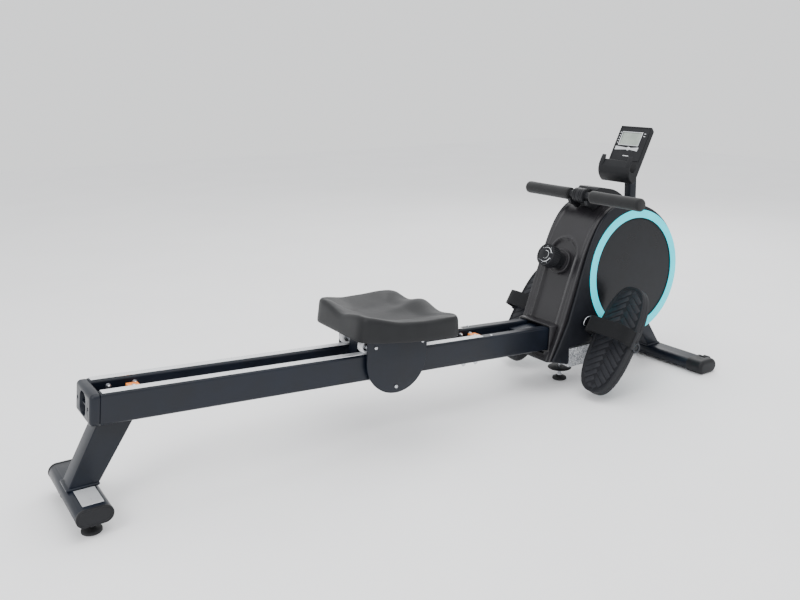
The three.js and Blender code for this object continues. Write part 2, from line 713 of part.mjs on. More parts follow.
const pullAxis = new THREE.Vector3(-Math.cos(radians(strapRise)), 0, Math.sin(radians(strapRise)));
const bossLug = block(-bossRadius + 4, bossRadius + 3, -bossWidth / 2 + 6, bossWidth / 2 - 6, -9, 9);
bossLug.applyMatrix4(new THREE.Matrix4().makeRotationY(radians(strapRise)));
bossLug.translate(handleX, 0, handleZ);
const solidHandle = join(
  bar(handleTubeRadius, handleLength - 12, axisY, handleX, 0, handleZ),
  bar(bossRadius, bossWidth, axisY, handleX, 0, handleZ),
  bossLug,
);
place(machine, 'handle_bar', cut(
  solidHandle,
  bar(handleTubeRadius - handleTubeWall, handleLength, axisY, handleX, 0, handleZ),
), plasticBlack);
const gripLength = handleLength / 2 - gripStart;
for (const [side, way] of sides) {
  const bore = handleTubeRadius + gap;
  const boreEnd = gripLength - 5;
  place(machine, `grip_${side}`, turned([
    [0, boreEnd], [bore, boreEnd], [bore, 0], [gripRadius - 1.5, 0], [gripRadius, 3],
    [gripRadius, gripLength - 4], [gripRadius - 3, gripLength], [0, gripLength],
  ], new THREE.Vector3(0, way, 0), handleX, way * gripStart, handleZ), rubberBlack);
}
const strapStart = bossRadius + 3 + gap;
const strap = block(strapStart, strapStart + strapLength, -strapWidth / 2, strapWidth / 2,
  -strapThickness / 2, strapThickness / 2);
strap.applyMatrix4(new THREE.Matrix4().makeRotationY(radians(strapRise)));
strap.translate(handleX, 0, handleZ);
place(machine, 'pull_strap', strap, webbing);

// The cradle: a hood on the housing's top with two arms that the handle lies in.
const hoodOutline = new THREE.Shape();
hoodOutline.moveTo(hoodRear, 520);
hoodOutline.lineTo(hoodFront + 24, 520);
hoodOutline.lineTo(hoodFront + 24, ringZ + crownHeight - 4);
hoodOutline.quadraticCurveTo(hoodFront, 580, hoodRear + 70, hoodTop - 9);
hoodOutline.quadraticCurveTo(hoodRear + 30, hoodTop, hoodRear + 6, hoodTop);
hoodOutline.lineTo(hoodRear, hoodTop - 6);
hoodOutline.closePath();
const armOutline = polygon([
  [handleX - 20, handleZ - 13], [handleX - 14, handleZ - 27], [handleX + 6, handleZ - 36], [hoodRear + 2, 520],
  [hoodRear + 2, handleZ + 16], [handleX + 18, handleZ + 16], [handleX + 10, handleZ - 4],
]);
const armMiddle = (cradleWidth - armWidth) / 2;
const seatRound = bar(handleTubeRadius + gap, cradleWidth + 4, axisY, handleX, 0, handleZ, fine);
const pullPath = block(-80, 0, -cradleWidth, cradleWidth, -handleTubeRadius - gap, 60);
pullPath.applyMatrix4(new THREE.Matrix4().makeRotationY(radians(strapRise)));
pullPath.translate(handleX, 0, handleZ);
const bossPath = bar(bossRadius + 2, bossWidth + 4, axisY, handleX, 0, handleZ, fine);
const slot = block(-30, strapStart + strapLength + 2, -strapWidth / 2 - 2, strapWidth / 2 + 2,
  -strapThickness / 2 - 2, strapThickness / 2 + 2);
slot.applyMatrix4(new THREE.Matrix4().makeRotationY(radians(strapRise)));
slot.translate(handleX, 0, handleZ);
const lugRoom = block(0, bossRadius + 5, -bossWidth / 2, bossWidth / 2, -11, 11);
lugRoom.applyMatrix4(new THREE.Matrix4().makeRotationY(radians(strapRise)));
lugRoom.translate(handleX, 0, handleZ);
const gripRoom = sides.map(([, way]) => bar(gripRadius + 1, 40, axisY, handleX, way * (gripStart + 19), handleZ));
const hoodOnHousing = acrossY(housingOutline(-gap, -gap), cradleWidth + 4, 0, 16);
place(machine, 'handle_cradle', cut(
  join(
    acrossY(hoodOutline, cradleWidth - 2),
    ...sides.map(([, way]) => acrossY(armOutline, armWidth, way * armMiddle)),
  ),
  hoodOnHousing, seatRound, pullPath, bossPath, slot, lugRoom, strapHole, ...gripRoom,
), plasticBlack);

// ---------------------------------------------------------------- console

const tilt = radians(consoleTilt);
const faceUp = new THREE.Vector3(Math.sin(tilt), 0, Math.cos(tilt));
const faceOut = new THREE.Vector3(-Math.cos(tilt), 0, Math.sin(tilt));
const faceBottom = new THREE.Vector3(consoleFaceBottomX, 0, consoleFaceBottomZ);

// A point on the console's side view: along is up the face, depth is behind it.
function onConsole(along, depth) {
  const point = faceBottom.clone().addScaledVector(faceUp, along).addScaledVector(faceOut, -depth);
  return [point.x, point.z];
}

const consoleSide = new THREE.Shape();
consoleSide.moveTo(...onConsole(0, 0));
consoleSide.lineTo(...onConsole(consoleFaceLength, 0));
consoleSide.lineTo(...onConsole(consoleFaceLength - 8, consoleThickness));
consoleSide.lineTo(...onConsole(-46, consoleThickness));
consoleSide.quadraticCurveTo(...onConsole(-72, consoleThickness), ...onConsole(-70, consoleThickness - 12));
consoleSide.quadraticCurveTo(...onConsole(-62, -trayDepth * 0.8), ...onConsole(-30, -trayDepth + 2));
consoleSide.lineTo(...onConsole(-8, -trayDepth + 4));
consoleSide.lineTo(...onConsole(-8, -trayDepth + 8));
consoleSide.lineTo(...onConsole(-28, -trayDepth + 8));
consoleSide.quadraticCurveTo(...onConsole(-46, -trayDepth + 14), ...onConsole(-40, -6));
consoleSide.closePath();

const buttonSeat = faceBottom.clone().addScaledVector(faceUp, buttonAlongFace);
const buttonDepth = 7;
const pocketMiddle = buttonSeat.clone().addScaledVector(faceOut, 5 - (buttonDepth + 10) / 2);
place(machine, 'console_body', cut(
  acrossY(consoleSide, consoleWidth, 0, 6),
  bar(buttonRadius + gap, buttonDepth + 10, faceOut, pocketMiddle.x, 0, pocketMiddle.z),
), plasticBlack);
const buttonBack = buttonSeat.clone().addScaledVector(faceOut, buttonTravel + gap - buttonDepth);
const buttonLength = buttonDepth - buttonTravel - gap + buttonStandOut;
place(machine, 'console_button', turned([
  [0, 0], [buttonRadius, 0], [buttonRadius, buttonLength - 1], [buttonRadius - 1, buttonLength],
  [0, buttonLength],
], faceOut, buttonBack.x, 0, buttonBack.z), buttonGrey);

// The post stands on the spine and its top is cut along the console's back.
const behindConsole = block(-200, 200, -50, 50, 0, 200);
behindConsole.applyMatrix4(new THREE.Matrix4().makeBasis(faceUp, axisY, faceOut));
const backPoint = faceBottom.clone().addScaledVector(faceOut, -consoleThickness - gap);
behindConsole.translate(backPoint.x, 0, backPoint.z);
const postProfile = roundedRectangle(postDepth, postWidth, 6, postX, 0);
const postInside = roundedRectangle(postDepth - 2 * postWall, postWidth - 2 * postWall, 6 - postWall, postX, 0);
postProfile.holes.push(new THREE.Path(postInside.getPoints(4)));
const post = new THREE.ExtrudeGeometry(postProfile,
  { depth: postTop - spineTop - gap, bevelEnabled: false, curveSegments: 4 });
post.translate(0, 0, spineTop + gap);
place(machine, 'console_post', cut(post, behindConsole), satinBlue);

// ---------------------------------------------------------------- seat carriage

const seat = new THREE.Group();
seat.position.set(seatAt, 0, 0);
track.add(seat);

// The cushion's plan: square at the rear, widening to two wings, then narrow between the thighs.
function cushionOutline() {
  const end = seatLength / 2;
  const rear = seatRearWidth / 2;
  const wing = seatWidth / 2;
  const shape = new THREE.Shape();
  shape.moveTo(-end, -rear + 44);
  shape.bezierCurveTo(-end, -rear + 17, -end + 6, -rear + 5, -end + 20, -rear);
  shape.bezierCurveTo(-end + 58, -rear - 18, -20, -wing + 4, end - 62, -wing);
  shape.bezierCurveTo(end - 34, -wing, end - 18, -wing, end - 10, -wing + 10);
  shape.bezierCurveTo(end - 2, -wing + 20, end, -wing + 28, end, -wing + 40);
  shape.lineTo(end, wing - 40);
  shape.bezierCurveTo(end, wing - 28, end - 2, wing - 20, end - 10, wing - 10);
  shape.bezierCurveTo(end - 18, wing, end - 34, wing, end - 62, wing);
  shape.bezierCurveTo(-20, wing - 4, -end + 58, rear + 18, -end + 20, rear);
  shape.bezierCurveTo(-end + 6, rear - 5, -end, rear - 17, -end, rear - 44);
  shape.closePath();
  return shape;
}

// The cushion: a closed solid whose top is dished for the rower and raised at the rim.
function cushionGeometry() {
  const across = 16;
  const along = 14;
  const base = new THREE.ExtrudeGeometry(cushionOutline(), { depth: seatHeight, bevelEnabled: false, curveSegments: 7 });
  base.translate(seatForward, 0, seatBottom);
  const top = new THREE.BoxGeometry(seatLength + 20, seatWidth + 20, 40, along, across, 1);
  top.translate(seatForward, 0, seatBottom + seatHeight + 20);
  const position = top.attributes.position;
  for (let i = 0; i < position.count; i += 1) {
    if (position.getZ(i) < seatBottom + seatHeight + 10) {
      const x = (position.getX(i) - seatForward) / (seatLength / 2);
      const y = position.getY(i) / (seatWidth / 2);
      const dish = Math.max(0, 1 - (x * x * 0.9) ** 2) * Math.max(0, 1 - (y * y) ** 2);
      const ridge = 0.55 * Math.exp(-y * y * 10) * Math.max(0, x);
      const tail = 0.9 * Math.exp(-y * y * 12) * Math.max(0, -x) ** 4;
      const depth = seatHollow * Math.max(0, dish * (1 - ridge) + tail);
      position.setZ(i, seatBottom + seatHeight - 0.5 - depth);
    }
  }
  return cut(base, top);
}
place(seat, 'seat_cushion', cushionGeometry(), seatGrey);

// The frame: a plate under the cushion, with a box that hangs in the channel and meets the stops.
const upperAxleZ = stripThickness + gap + upperRollerRadius;
const plateInner = plateOut - plateThickness;
const upperAxleX = upperAxleSpacing / 2;
const lowerAxleZ = -railHeight - lowerRollerPlay - lowerRollerRadius;
const axleBores = [-1, 1].map((end) => bar(seatAxleRadius + gap, 300, axisY, end * upperAxleX, 0, upperAxleZ));
place(seat, 'seat_frame', cut(
  join(
    block(-plateHalf - 12, plateHalf + 12, -plateInner + gap, plateInner - gap, frameTop - seatFramePlate, frameTop),
    block(-lugHalf, lugHalf, -lugWidth / 2, lugWidth / 2, lugBottom, frameTop - 1),
  ),
  block(-lugHalf + 20, lugHalf - 20, 3 - lugWidth / 2, lugWidth / 2 - 3, lugBottom - 1, frameTop - 3),
  ...axleBores,
), satinBlue);

const plateShape = new THREE.Shape();
plateShape.moveTo(plateHalf, frameTop);
plateShape.lineTo(-plateHalf, frameTop);
plateShape.lineTo(-plateHalf, -plateDrop);
plateShape.absarc(0, -plateDrop, plateHalf, Math.PI, 2 * Math.PI, false);
plateShape.closePath();
for (const [side, way] of sides) {
  const middle = way * (plateOut - plateThickness / 2);
  place(seat, `seat_plate_${side}`, acrossY(plateShape, plateThickness, middle, 24), satinBlue);
}

// Axles end against the plates; each roller turns on its axle, over or under a rail.
const axleLength = 2 * (plateInner - gap);
const axlePlaces = [['rear', -upperAxleX, upperAxleZ], ['front', upperAxleX, upperAxleZ], ['lower', 0, lowerAxleZ]];
for (const [name, x, z] of axlePlaces) {
  place(seat, `seat_axle_${name}`, bar(seatAxleRadius, axleLength, axisY, x, 0, z), brightSteel);
  const radius = name === 'lower' ? lowerRollerRadius : upperRollerRadius;
  for (const [side, way] of sides) {
    place(seat, `roller_${name}_${side}`, turned([
      [seatAxleRadius + gap, -rollerWidth / 2], [radius - 2, -rollerWidth / 2], [radius, 2 - rollerWidth / 2],
      [radius, rollerWidth / 2 - 2], [radius - 2, rollerWidth / 2], [seatAxleRadius + gap, rollerWidth / 2],
      [seatAxleRadius + gap, -rollerWidth / 2],
    ], axisY, x, way * rollerSpread, z), rollerGrey);
  }
}

// ---------------------------------------------------------------- whole machine

const overall = new THREE.Box3().setFromObject(machine, true);
machine.position.x = -(overall.min.x + overall.max.x) / 2;

export default machine;
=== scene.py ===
"""A magnetic rowing machine with a sliding seat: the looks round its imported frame.

Metres, in the machine's own frame: +X runs from the rear foot to the flywheel housing,
+Y is the rower's left and +Z is up. Pieces on the rails are drawn level, in rail
coordinates (along, across, over the rails' top face), and then settled on the slope.
"""

import json
import math

import bpy
from mathutils import Matrix, Vector


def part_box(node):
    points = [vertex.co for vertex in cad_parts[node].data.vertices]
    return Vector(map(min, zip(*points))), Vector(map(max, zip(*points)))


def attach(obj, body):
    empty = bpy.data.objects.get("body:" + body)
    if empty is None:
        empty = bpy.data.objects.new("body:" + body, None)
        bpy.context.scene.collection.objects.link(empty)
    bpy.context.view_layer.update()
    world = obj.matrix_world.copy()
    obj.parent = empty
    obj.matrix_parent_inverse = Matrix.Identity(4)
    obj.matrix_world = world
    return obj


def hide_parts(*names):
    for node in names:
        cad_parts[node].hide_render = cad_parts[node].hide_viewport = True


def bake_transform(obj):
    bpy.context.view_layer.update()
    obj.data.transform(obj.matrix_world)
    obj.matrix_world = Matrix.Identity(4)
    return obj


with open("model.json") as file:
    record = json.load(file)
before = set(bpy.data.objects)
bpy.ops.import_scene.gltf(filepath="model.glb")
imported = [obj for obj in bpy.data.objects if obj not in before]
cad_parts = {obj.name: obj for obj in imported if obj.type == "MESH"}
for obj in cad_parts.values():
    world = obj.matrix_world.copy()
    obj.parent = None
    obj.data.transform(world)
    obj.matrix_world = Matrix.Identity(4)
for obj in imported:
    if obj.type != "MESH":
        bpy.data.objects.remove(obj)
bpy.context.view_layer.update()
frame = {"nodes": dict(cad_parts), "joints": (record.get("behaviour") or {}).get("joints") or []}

SIDES = (("left", 1), ("right", -1))
X, Y, Z = Vector((1, 0, 0)), Vector((0, 1, 0)), Vector((0, 0, 1))


def middle(node):
    low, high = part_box(node)
    return (low + high) / 2


def on_middle_plane(node):
    """A node's middle, moved onto the machine's middle plane."""
    spot = middle(node)
    return Vector((spot.x, 0, spot.z))


def half_length(node):
    low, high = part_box(node)
    return (high.x - low.x) / 2


def joint(name):
    return next(j for j in frame["joints"] if j["name"] == name)


# ------------------------------------------------------------------ places

slide = Vector(joint("seat_slide")["axis"])
SLOPE = math.atan2(-slide.z, slide.x)
cap_low, cap_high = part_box("rail_end_cap")
RAIL_HEIGHT = 0.070
rear_top = Vector((cap_low.x + RAIL_HEIGHT * math.sin(SLOPE), 0, cap_high.z))
on_rail = Matrix.Translation(rear_top) @ Matrix.Rotation(SLOPE, 4, "Y")


def along_rail(point):
    """How far along the rails a point is, and how high over their top face."""
    local = on_rail.inverted() @ point
    return local.x, local.z


RAIL_MIDDLE = middle("rail_strip_left").y
RAIL_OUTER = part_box("rail_left")[1].y
SEAT_ALONG, LOWER_AXLE = along_rail(middle("seat_axle_lower"))
on_seat = on_rail @ Matrix.Translation((SEAT_ALONG, 0, 0))
SEAT_BOTTOM = 0.050             # the cushion's underside, over the rails' top face
HUB = on_middle_plane("light_ring_left")
RING_OUTER = half_length("light_ring_left")
DISC_RADIUS = half_length("housing_disc_left")
FAIRING_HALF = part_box("center_fairing")[1].y
COVER_INNER, COVER_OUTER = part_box("housing_cover_left")[0].y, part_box("housing_cover_left")[1].y


# ------------------------------------------------------------------ modelling

def deselect():
    if bpy.context.object and bpy.context.object.mode != "OBJECT":
        bpy.ops.object.mode_set(mode="OBJECT")
    bpy.ops.object.select_all(action="DESELECT")


def take(piece):
    """Makes a piece the only one selected, and active."""
    deselect()
    piece.select_set(True)
    bpy.context.view_layer.objects.active = piece
    return piece


def named(name):
    """The primitive that was just added, with its place moved into its mesh."""
    piece = bpy.context.object
    piece.name = name
    piece.data.name = name
    bpy.ops.object.transform_apply(location=True, rotation=True, scale=True)
    return piece


def block(name, low, high):
    deselect()
    low, high = Vector(low), Vector(high)
    bpy.ops.mesh.primitive_cube_add(size=1, location=(low + high) / 2, scale=high - low)
    return named(name)


def rod(name, radius, depth, place, axis=Z, sides=32):
    """A round bar centred on place."""
    deselect()
    turn = Vector(axis).to_track_quat("Z", "Y").to_euler()
    bpy.ops.mesh.primitive_cone_add(vertices=sides, radius1=radius, radius2=radius,
                                    depth=depth, location=place, rotation=turn)
    return named(name)


def standing(place, axis, side="Y"):
    """The matrix that stands a piece drawn along Z on a place, along axis."""
    turn = Vector(axis).to_track_quat("Z", side).to_matrix().to_4x4()
    return Matrix.Translation(place) @ turn


def select(piece, test, kind="FACE"):
    """In edit mode, selects the faces or edges for which test(middle, normal) is true."""
    take(piece)
    mesh = piece.data
    for group in (mesh.vertices, mesh.edges, mesh.polygons):
        group.foreach_set("select", [False] * len(group))
    if kind == "FACE":
        for face in mesh.polygons:
            face.select = bool(test(face.center, face.normal))
    else:
        for edge in mesh.edges:
            a, b = (mesh.vertices[i].co for i in edge.vertices)
            edge.select = bool(test((a + b) / 2, (b - a).normalized()))
    bpy.ops.object.mode_set(mode="EDIT")
    bpy.ops.mesh.select_mode(type=kind)
    return piece


def select_whole(piece, kind="FACE"):
    take(piece)
    bpy.ops.object.mode_set(mode="EDIT")
    bpy.ops.mesh.select_mode(type=kind)
    bpy.ops.mesh.select_all(action="SELECT")


def done():
    bpy.ops.object.mode_set(mode="OBJECT")


def bevel_edges(piece, test, width, segments):
    """Bevels the edges for which test(middle, run) is true."""
    select(piece, test, "EDGE")
    bpy.ops.mesh.bevel(offset=width, segments=segments, affect="EDGES")
    done()
    return piece


def inset_faces(piece, test, *insets):
    """Insets the chosen faces again and again, by (thickness, depth) pairs."""
    select(piece, test)
    for thickness, depth in insets:
        bpy.ops.mesh.inset(thickness=thickness, depth=depth)
    done()
    return piece


def tidy_mesh(piece):
    """Merges doubles and turns every face outward."""
    select_whole(piece)
    bpy.ops.mesh.remove_doubles(threshold=0.00002)
    bpy.ops.mesh.normals_make_consistent(inside=False)
    done()
    return piece


def modify(piece, kind, **settings):
    """Adds a modifier, sets it and applies it."""
    take(piece)
    made = piece.modifiers.new(kind.lower(), kind)
    for key, value in settings.items():
        setattr(made, key, value)
    bpy.ops.object.modifier_apply(modifier=made.name)
    return piece


def round_edges(piece, width, segments=3, angle=32):
    return modify(piece, "BEVEL", width=width, segments=segments, limit_method="ANGLE",
                  angle_limit=math.radians(angle))


def smooth(piece, angle=35):
    take(piece)
    bpy.ops.object.shade_smooth_by_angle(angle=math.radians(angle))
    return piece


def outline_plate(name, points, width, across=0.0):
    """A plate whose outline is drawn in X and Z, standing evenly about y = across."""
    deselect()
    bpy.ops.mesh.primitive_circle_add(vertices=len(points), radius=1, fill_type="NGON")
    piece = named(name)
    for vertex, (x, z) in zip(piece.data.vertices, points):
        vertex.co = (x, across - width / 2, z)
    select_whole(piece)
    bpy.ops.mesh.extrude_region_move(TRANSFORM_OT_translate={"value": (0, width, 0)})
    done()
    return tidy_mesh(piece)


def turned(name, profile, place, axis=Y, steps=48):
    """A turned piece: profile is (radius, height) pairs, closed on itself or ending on the axis."""
    deselect()
    bpy.ops.mesh.primitive_circle_add(vertices=len(profile), radius=1, fill_type="NOTHING")
    piece = named(name)
    for vertex, (radius, height) in zip(piece.data.vertices, profile):
        vertex.co = (radius, 0, height)
    select_whole(piece, "EDGE")
    bpy.ops.mesh.spin(steps=steps, angle=2 * math.pi, center=(0, 0, 0), axis=(0, 0, 1))
    done()
    tidy_mesh(piece)
    select(piece, lambda centre, run: centre.xy.length < 1e-6 and abs(run.z) > 0.99, "EDGE")
    bpy.ops.mesh.delete(type="EDGE")
    done()
    piece.data.transform(standing(place, axis))
    return piece


def lofted(name, loops, filled=True):
    """A skin through loops of points, each extruded from the one before it, with its ends filled or open."""
    deselect()
    bpy.ops.mesh.primitive_circle_add(vertices=len(loops[0]), radius=1,
                                      fill_type="NGON" if filled else "NOTHING")
    piece = named(name)
    for vertex, place in zip(piece.data.vertices, loops[0]):
        vertex.co = place
    if filled:
        select_whole(piece)
        bpy.ops.mesh.select_mode(type="EDGE")
        bpy.ops.mesh.region_to_loop()
    else:
        select_whole(piece, "EDGE")
    for places in loops[1:]:
        start = len(piece.data.vertices)
        bpy.ops.mesh.extrude_region_move(TRANSFORM_OT_translate={"value": (0, 0, 0.001)})
        bpy.ops.object.mode_set(mode="OBJECT")
        for vertex, place in zip(list(piece.data.vertices)[start:], places):
            vertex.co = place
        bpy.ops.object.mode_set(mode="EDIT")
    if filled:
        bpy.ops.mesh.edge_face_add()
    done()
    return tidy_mesh(piece)


def carve(piece, cutter):
    """Cuts one piece out of another, and uses it up."""
    modify(piece, "BOOLEAN", operation="DIFFERENCE", solver="EXACT", object=cutter)
    bpy.data.objects.remove(cutter)
    return piece


def join(first, *others):
    take(first)
    for other in others:
        other.select_set(True)
    bpy.ops.object.join()
    return first


def settle(piece, matrix):
    """Moves a piece drawn level to its place, inside its mesh."""
    piece.data.transform(matrix)
    piece.data.update()
    return piece


def copy_of(piece, name, matrix):
    """Another piece of the same shape, with its own mesh, moved by matrix."""
    twin = piece.copy()
    twin.data = piece.data.copy()
    twin.name = twin.data.name = name
    bpy.context.scene.collection.objects.link(twin)
    settle(twin, matrix)
    return twin


def mirrored(piece, name):
    """The same shape on the other side of the middle plane."""
    twin = copy_of(piece, name, Matrix.Diagonal((1, -1, 1, 1)))
    twin.data.flip_normals()
    return twin


def coat(piece, material):
    piece.data.materials.clear()
    piece.data.materials.append(material)


def hand_over(piece, body, material, finish, *nodes):
    """Gives a finished piece its material, its body and the nodes it stands for; the record's finish is not
    used.
    """
    coat(piece, material)
    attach(piece, body)
    if nodes:
        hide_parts(*nodes)
    return piece


def soften(node, material, width):
    """Keeps a frame node, rounds its edges with live modifiers and gives it its material."""
    piece = frame["nodes"][node]
    weld = piece.modifiers.new("weld", "WELD")
    weld.merge_threshold = 0.00004
    flat = piece.modifiers.new("flat", "DECIMATE")
    flat.decimate_type = "DISSOLVE"
    flat.angle_limit = math.radians(0.6)
    edges = piece.modifiers.new("edges", "BEVEL")
    edges.width = width
    edges.segments = 3
    edges.limit_method = "ANGLE"
    edges.angle_limit = math.radians(33)
    edges.harden_normals = True
    piece.data.polygons.foreach_set("use_smooth", [True] * len(piece.data.polygons))
    coat(piece, material)


# ------------------------------------------------------------------ materials

def linear(colour):
    """An sRGB hex colour as linear red, green, blue and alpha."""
    parts = [int(colour[i:i + 2], 16) / 255 for i in (0, 2, 4)]
    return [c / 12.92 if c <= 0.04045 else ((c + 0.055) / 1.055) ** 2.4 for c in parts] + [1]


def add(tree, kind, settings=None, **links):
    """Adds a node. Settings name its properties or its inputs; links feed its inputs."""
    made = tree.nodes.new("ShaderNode" + kind)
    for key, value in (settings or {}).items():
        if isinstance(key, str) and hasattr(made, key):
            setattr(made, key, value)
        else:
            made.inputs[key].default_value = value
    for key, source in links.items():
        tree.links.new(source, made.inputs[key.replace("_", " ")])
    return made


def blank(name, colour, roughness, metallic=0.0, **settings):
    """A new material whose shader has its even values set. Returns it, its tree and its shader."""
    material = bpy.data.materials.new(name)
    material.use_nodes = True
    tree = material.node_tree
    shader = tree.nodes["Principled BSDF"]
    shader.inputs["Base Color"].default_value = linear(colour)
    shader.inputs["Roughness"].default_value = roughness
    shader.inputs["Metallic"].default_value = metallic
    for key, value in settings.items():
        shader.inputs[key.replace("_", " ")].default_value = value
    material.diffuse_color = linear(colour)
    return material, tree, shader


def place_in(tree, scale=(1, 1, 1), turn=(0, 0, 0)):
    """Object coordinates, stretched and turned for a pattern."""
    coordinates = add(tree, "TexCoord")
    return add(tree, "Mapping", {"Scale": scale, "Rotation": turn},
               Vector=coordinates.outputs["Object"]).outputs["Vector"]


def colour_between(tree, shader, source, colour_a, colour_b, low=0.0, high=1.0):
    """Drives the base colour from one colour to another, between two values of a pattern."""
    ramp = add(tree, "ValToRGB", Fac=source)
    for stop, position, colour in zip(ramp.color_ramp.elements, (low, high), (colour_a, colour_b)):
        stop.position = position
        stop.color = linear(colour)
    tree.links.new(ramp.outputs["Color"], shader.inputs["Base Color"])


def mottle(tree, shader, colour_a, colour_b, vector, scale):
    """Drifts the base colour between two close colours."""
    cloud = add(tree, "TexNoise", {"Scale": scale, "Detail": 5.0, "Roughness": 0.6}, Vector=vector)
    colour_between(tree, shader, cloud.outputs["Fac"], colour_a, colour_b, 0.35, 0.65)
    return cloud


def vary_roughness(tree, shader, source, low, high):
    spread = add(tree, "MapRange", {"To Min": low, "To Max": high, "From Min": 0.3, "From Max": 0.7},
                 Value=source)
    tree.links.new(spread.outputs["Result"], shader.inputs["Roughness"])


def relief(tree, shader, source, height, strength=0.6, under=None):
    """Raises a pattern by its real height in metres."""
    raised = add(tree, "Bump", {"Strength": strength, "Distance": height}, Height=source)
    if under is not None:
        tree.links.new(under.outputs["Normal"], raised.inputs["Normal"])
    tree.links.new(raised.outputs["Normal"], shader.inputs["Normal"])
    return raised


def grained_plastic(name, colour, lighter, roughness, grain, height, shine=0.24):
    """Moulded plastic with a spark-eroded grain: an even, matt-satin sheen that breaks the highlights."""
    material, tree, shader = blank(name, colour, roughness, IOR=1.5, Specular_IOR_Level=shine)
    vector = place_in(tree)
    cloud = mottle(tree, shader, colour, lighter, vector, 14)
    vary_roughness(tree, shader, cloud.outputs["Fac"], roughness - 0.05, roughness + 0.06)
    # the real grain is 0.1 to 0.2 mm; it is drawn coarser so that it shows
    fine = add(tree, "TexNoise", {"Scale": 1 / grain, "Detail": 3.0}, Vector=vector)
    relief(tree, shader, fine.outputs["Fac"], height, 0.5)
    return material


def powder_coated_steel():
    """Satin blue-black powder coat on steel tube: soft highlights with a faint orange peel."""
    material, tree, shader = blank("powder_coated_steel", "0b111b", 0.4, IOR=1.5, Specular_IOR_Level=0.26,
                                   Coat_Weight=0.1, Coat_Roughness=0.3)
    vector = place_in(tree)
    cloud = mottle(tree, shader, "0b1019", "0e1521", vector, 9)
    vary_roughness(tree, shader, cloud.outputs["Fac"], 0.34, 0.44)
    peel = add(tree, "TexNoise", {"Scale": 1 / 0.0016, "Detail": 2.0}, Vector=vector)
    relief(tree, shader, peel.outputs["Fac"], 0.00005, 0.35)
    return material


def seat_foam():
    """Self-skinned polyurethane foam: charcoal, soft broad sheen, a fine leather-like skin."""
    material, tree, shader = blank("self_skinned_polyurethane", "161719", 0.5, IOR=1.45,
                                   Specular_IOR_Level=0.3, Sheen_Weight=0.05, Sheen_Roughness=0.5)
    vector = place_in(tree)
    cloud = mottle(tree, shader, "141517", "191a1c", vector, 22)
    vary_roughness(tree, shader, cloud.outputs["Fac"], 0.44, 0.54)
    # leather-like cells, 0.9 mm across
    cells = add(tree, "TexVoronoi", {"Scale": 1 / 0.0009, "feature": "SMOOTH_F1", "Smoothness": 0.6},
                Vector=vector)
    skin = relief(tree, shader, cells.outputs["Distance"], 0.00006, 0.35)
    dents = add(tree, "TexNoise", {"Scale": 60.0, "Detail": 2.0}, Vector=vector)
    relief(tree, shader, dents.outputs["Fac"], 0.0006, 0.15, skin)
    return material


def bright_metal(name, colour, roughness, stretch=(60, 900, 900), height=0.00002, metallic=1.0):
    """Plated or drawn bright metal: mirror-like, with fine lines along the way it was drawn."""
    material, tree, shader = blank(name, colour, roughness, metallic)
    lines = add(tree, "TexNoise", {"Scale": 1.0, "Detail": 4.0}, Vector=place_in(tree, stretch))
    vary_roughness(tree, shader, lines.outputs["Fac"], roughness * 0.75, roughness * 1.35)
    relief(tree, shader, lines.outputs["Fac"], height, 0.4)
    return material


def running_strip():
    """Clear-anodised aluminium strip: pale, bright and finely lined along its length."""
    material, tree, shader = blank("anodised_aluminium", "f0f1f3", 0.3, 0.5)
    lines = add(tree, "TexNoise", {"Scale": 1.0, "Detail": 4.0}, Vector=place_in(tree, (12, 1400, 60)))
    vary_roughness(tree, shader, lines.outputs["Fac"], 0.22, 0.4)
    colour_between(tree, shader, lines.outputs["Fac"], "d7dade", "f4f5f7")
    relief(tree, shader, lines.outputs["Fac"], 0.00003, 0.4)
    return material


def painted_glow_acrylic():
    """Frosted cyan acrylic: bright, even and a little milky, and given a painted glow by emission."""
    material, tree, shader = blank("frosted_cyan_acrylic", "00c2d2", 0.32, IOR=1.49,
                                   Subsurface_Weight=0.15, Subsurface_Scale=0.004,
                                   Emission_Color=linear("00dcec"), Emission_Strength=0.7)
    vector = place_in(tree)
    cloud = mottle(tree, shader, "00bccc", "06c8d6", vector, 16)
    vary_roughness(tree, shader, cloud.outputs["Fac"], 0.28, 0.38)
    frost = add(tree, "TexNoise", {"Scale": 1 / 0.0012, "Detail": 2.0}, Vector=vector)
    relief(tree, shader, frost.outputs["Fac"], 0.00003, 0.4)
    return material


def rubber(name, colour, lighter, roughness=0.72):
    """Moulded rubber: matt, with a dusty bloom and a very fine tooth."""
    material, tree, shader = blank(name, colour, roughness, IOR=1.52)
    vector = place_in(tree)
    cloud = mottle(tree, shader, colour, lighter, vector, 40)
    vary_roughness(tree, shader, cloud.outputs["Fac"], roughness - 0.08, roughness + 0.08)
    tooth = add(tree, "TexNoise", {"Scale": 1 / 0.0008, "Detail": 3.0}, Vector=vector)
    relief(tree, shader, tooth.outputs["Fac"], 0.00008, 0.5)
    return material


def grip_foam():
    """Closed-cell foam sleeve: soft black with cells of about a millimetre."""
    material, tree, shader = blank("closed_cell_foam", "0e0f11", 0.78, IOR=1.45, Specular_IOR_Level=0.3,
                                   Sheen_Weight=0.2)
    vector = place_in(tree)
    mottle(tree, shader, "0c0d0f", "131416", vector, 30)
    cells = add(tree, "TexVoronoi", {"Scale": 1 / 0.0011, "feature": "SMOOTH_F1"}, Vector=vector)
    relief(tree, shader, cells.outputs["Distance"], 0.00018, 0.5)
    return material


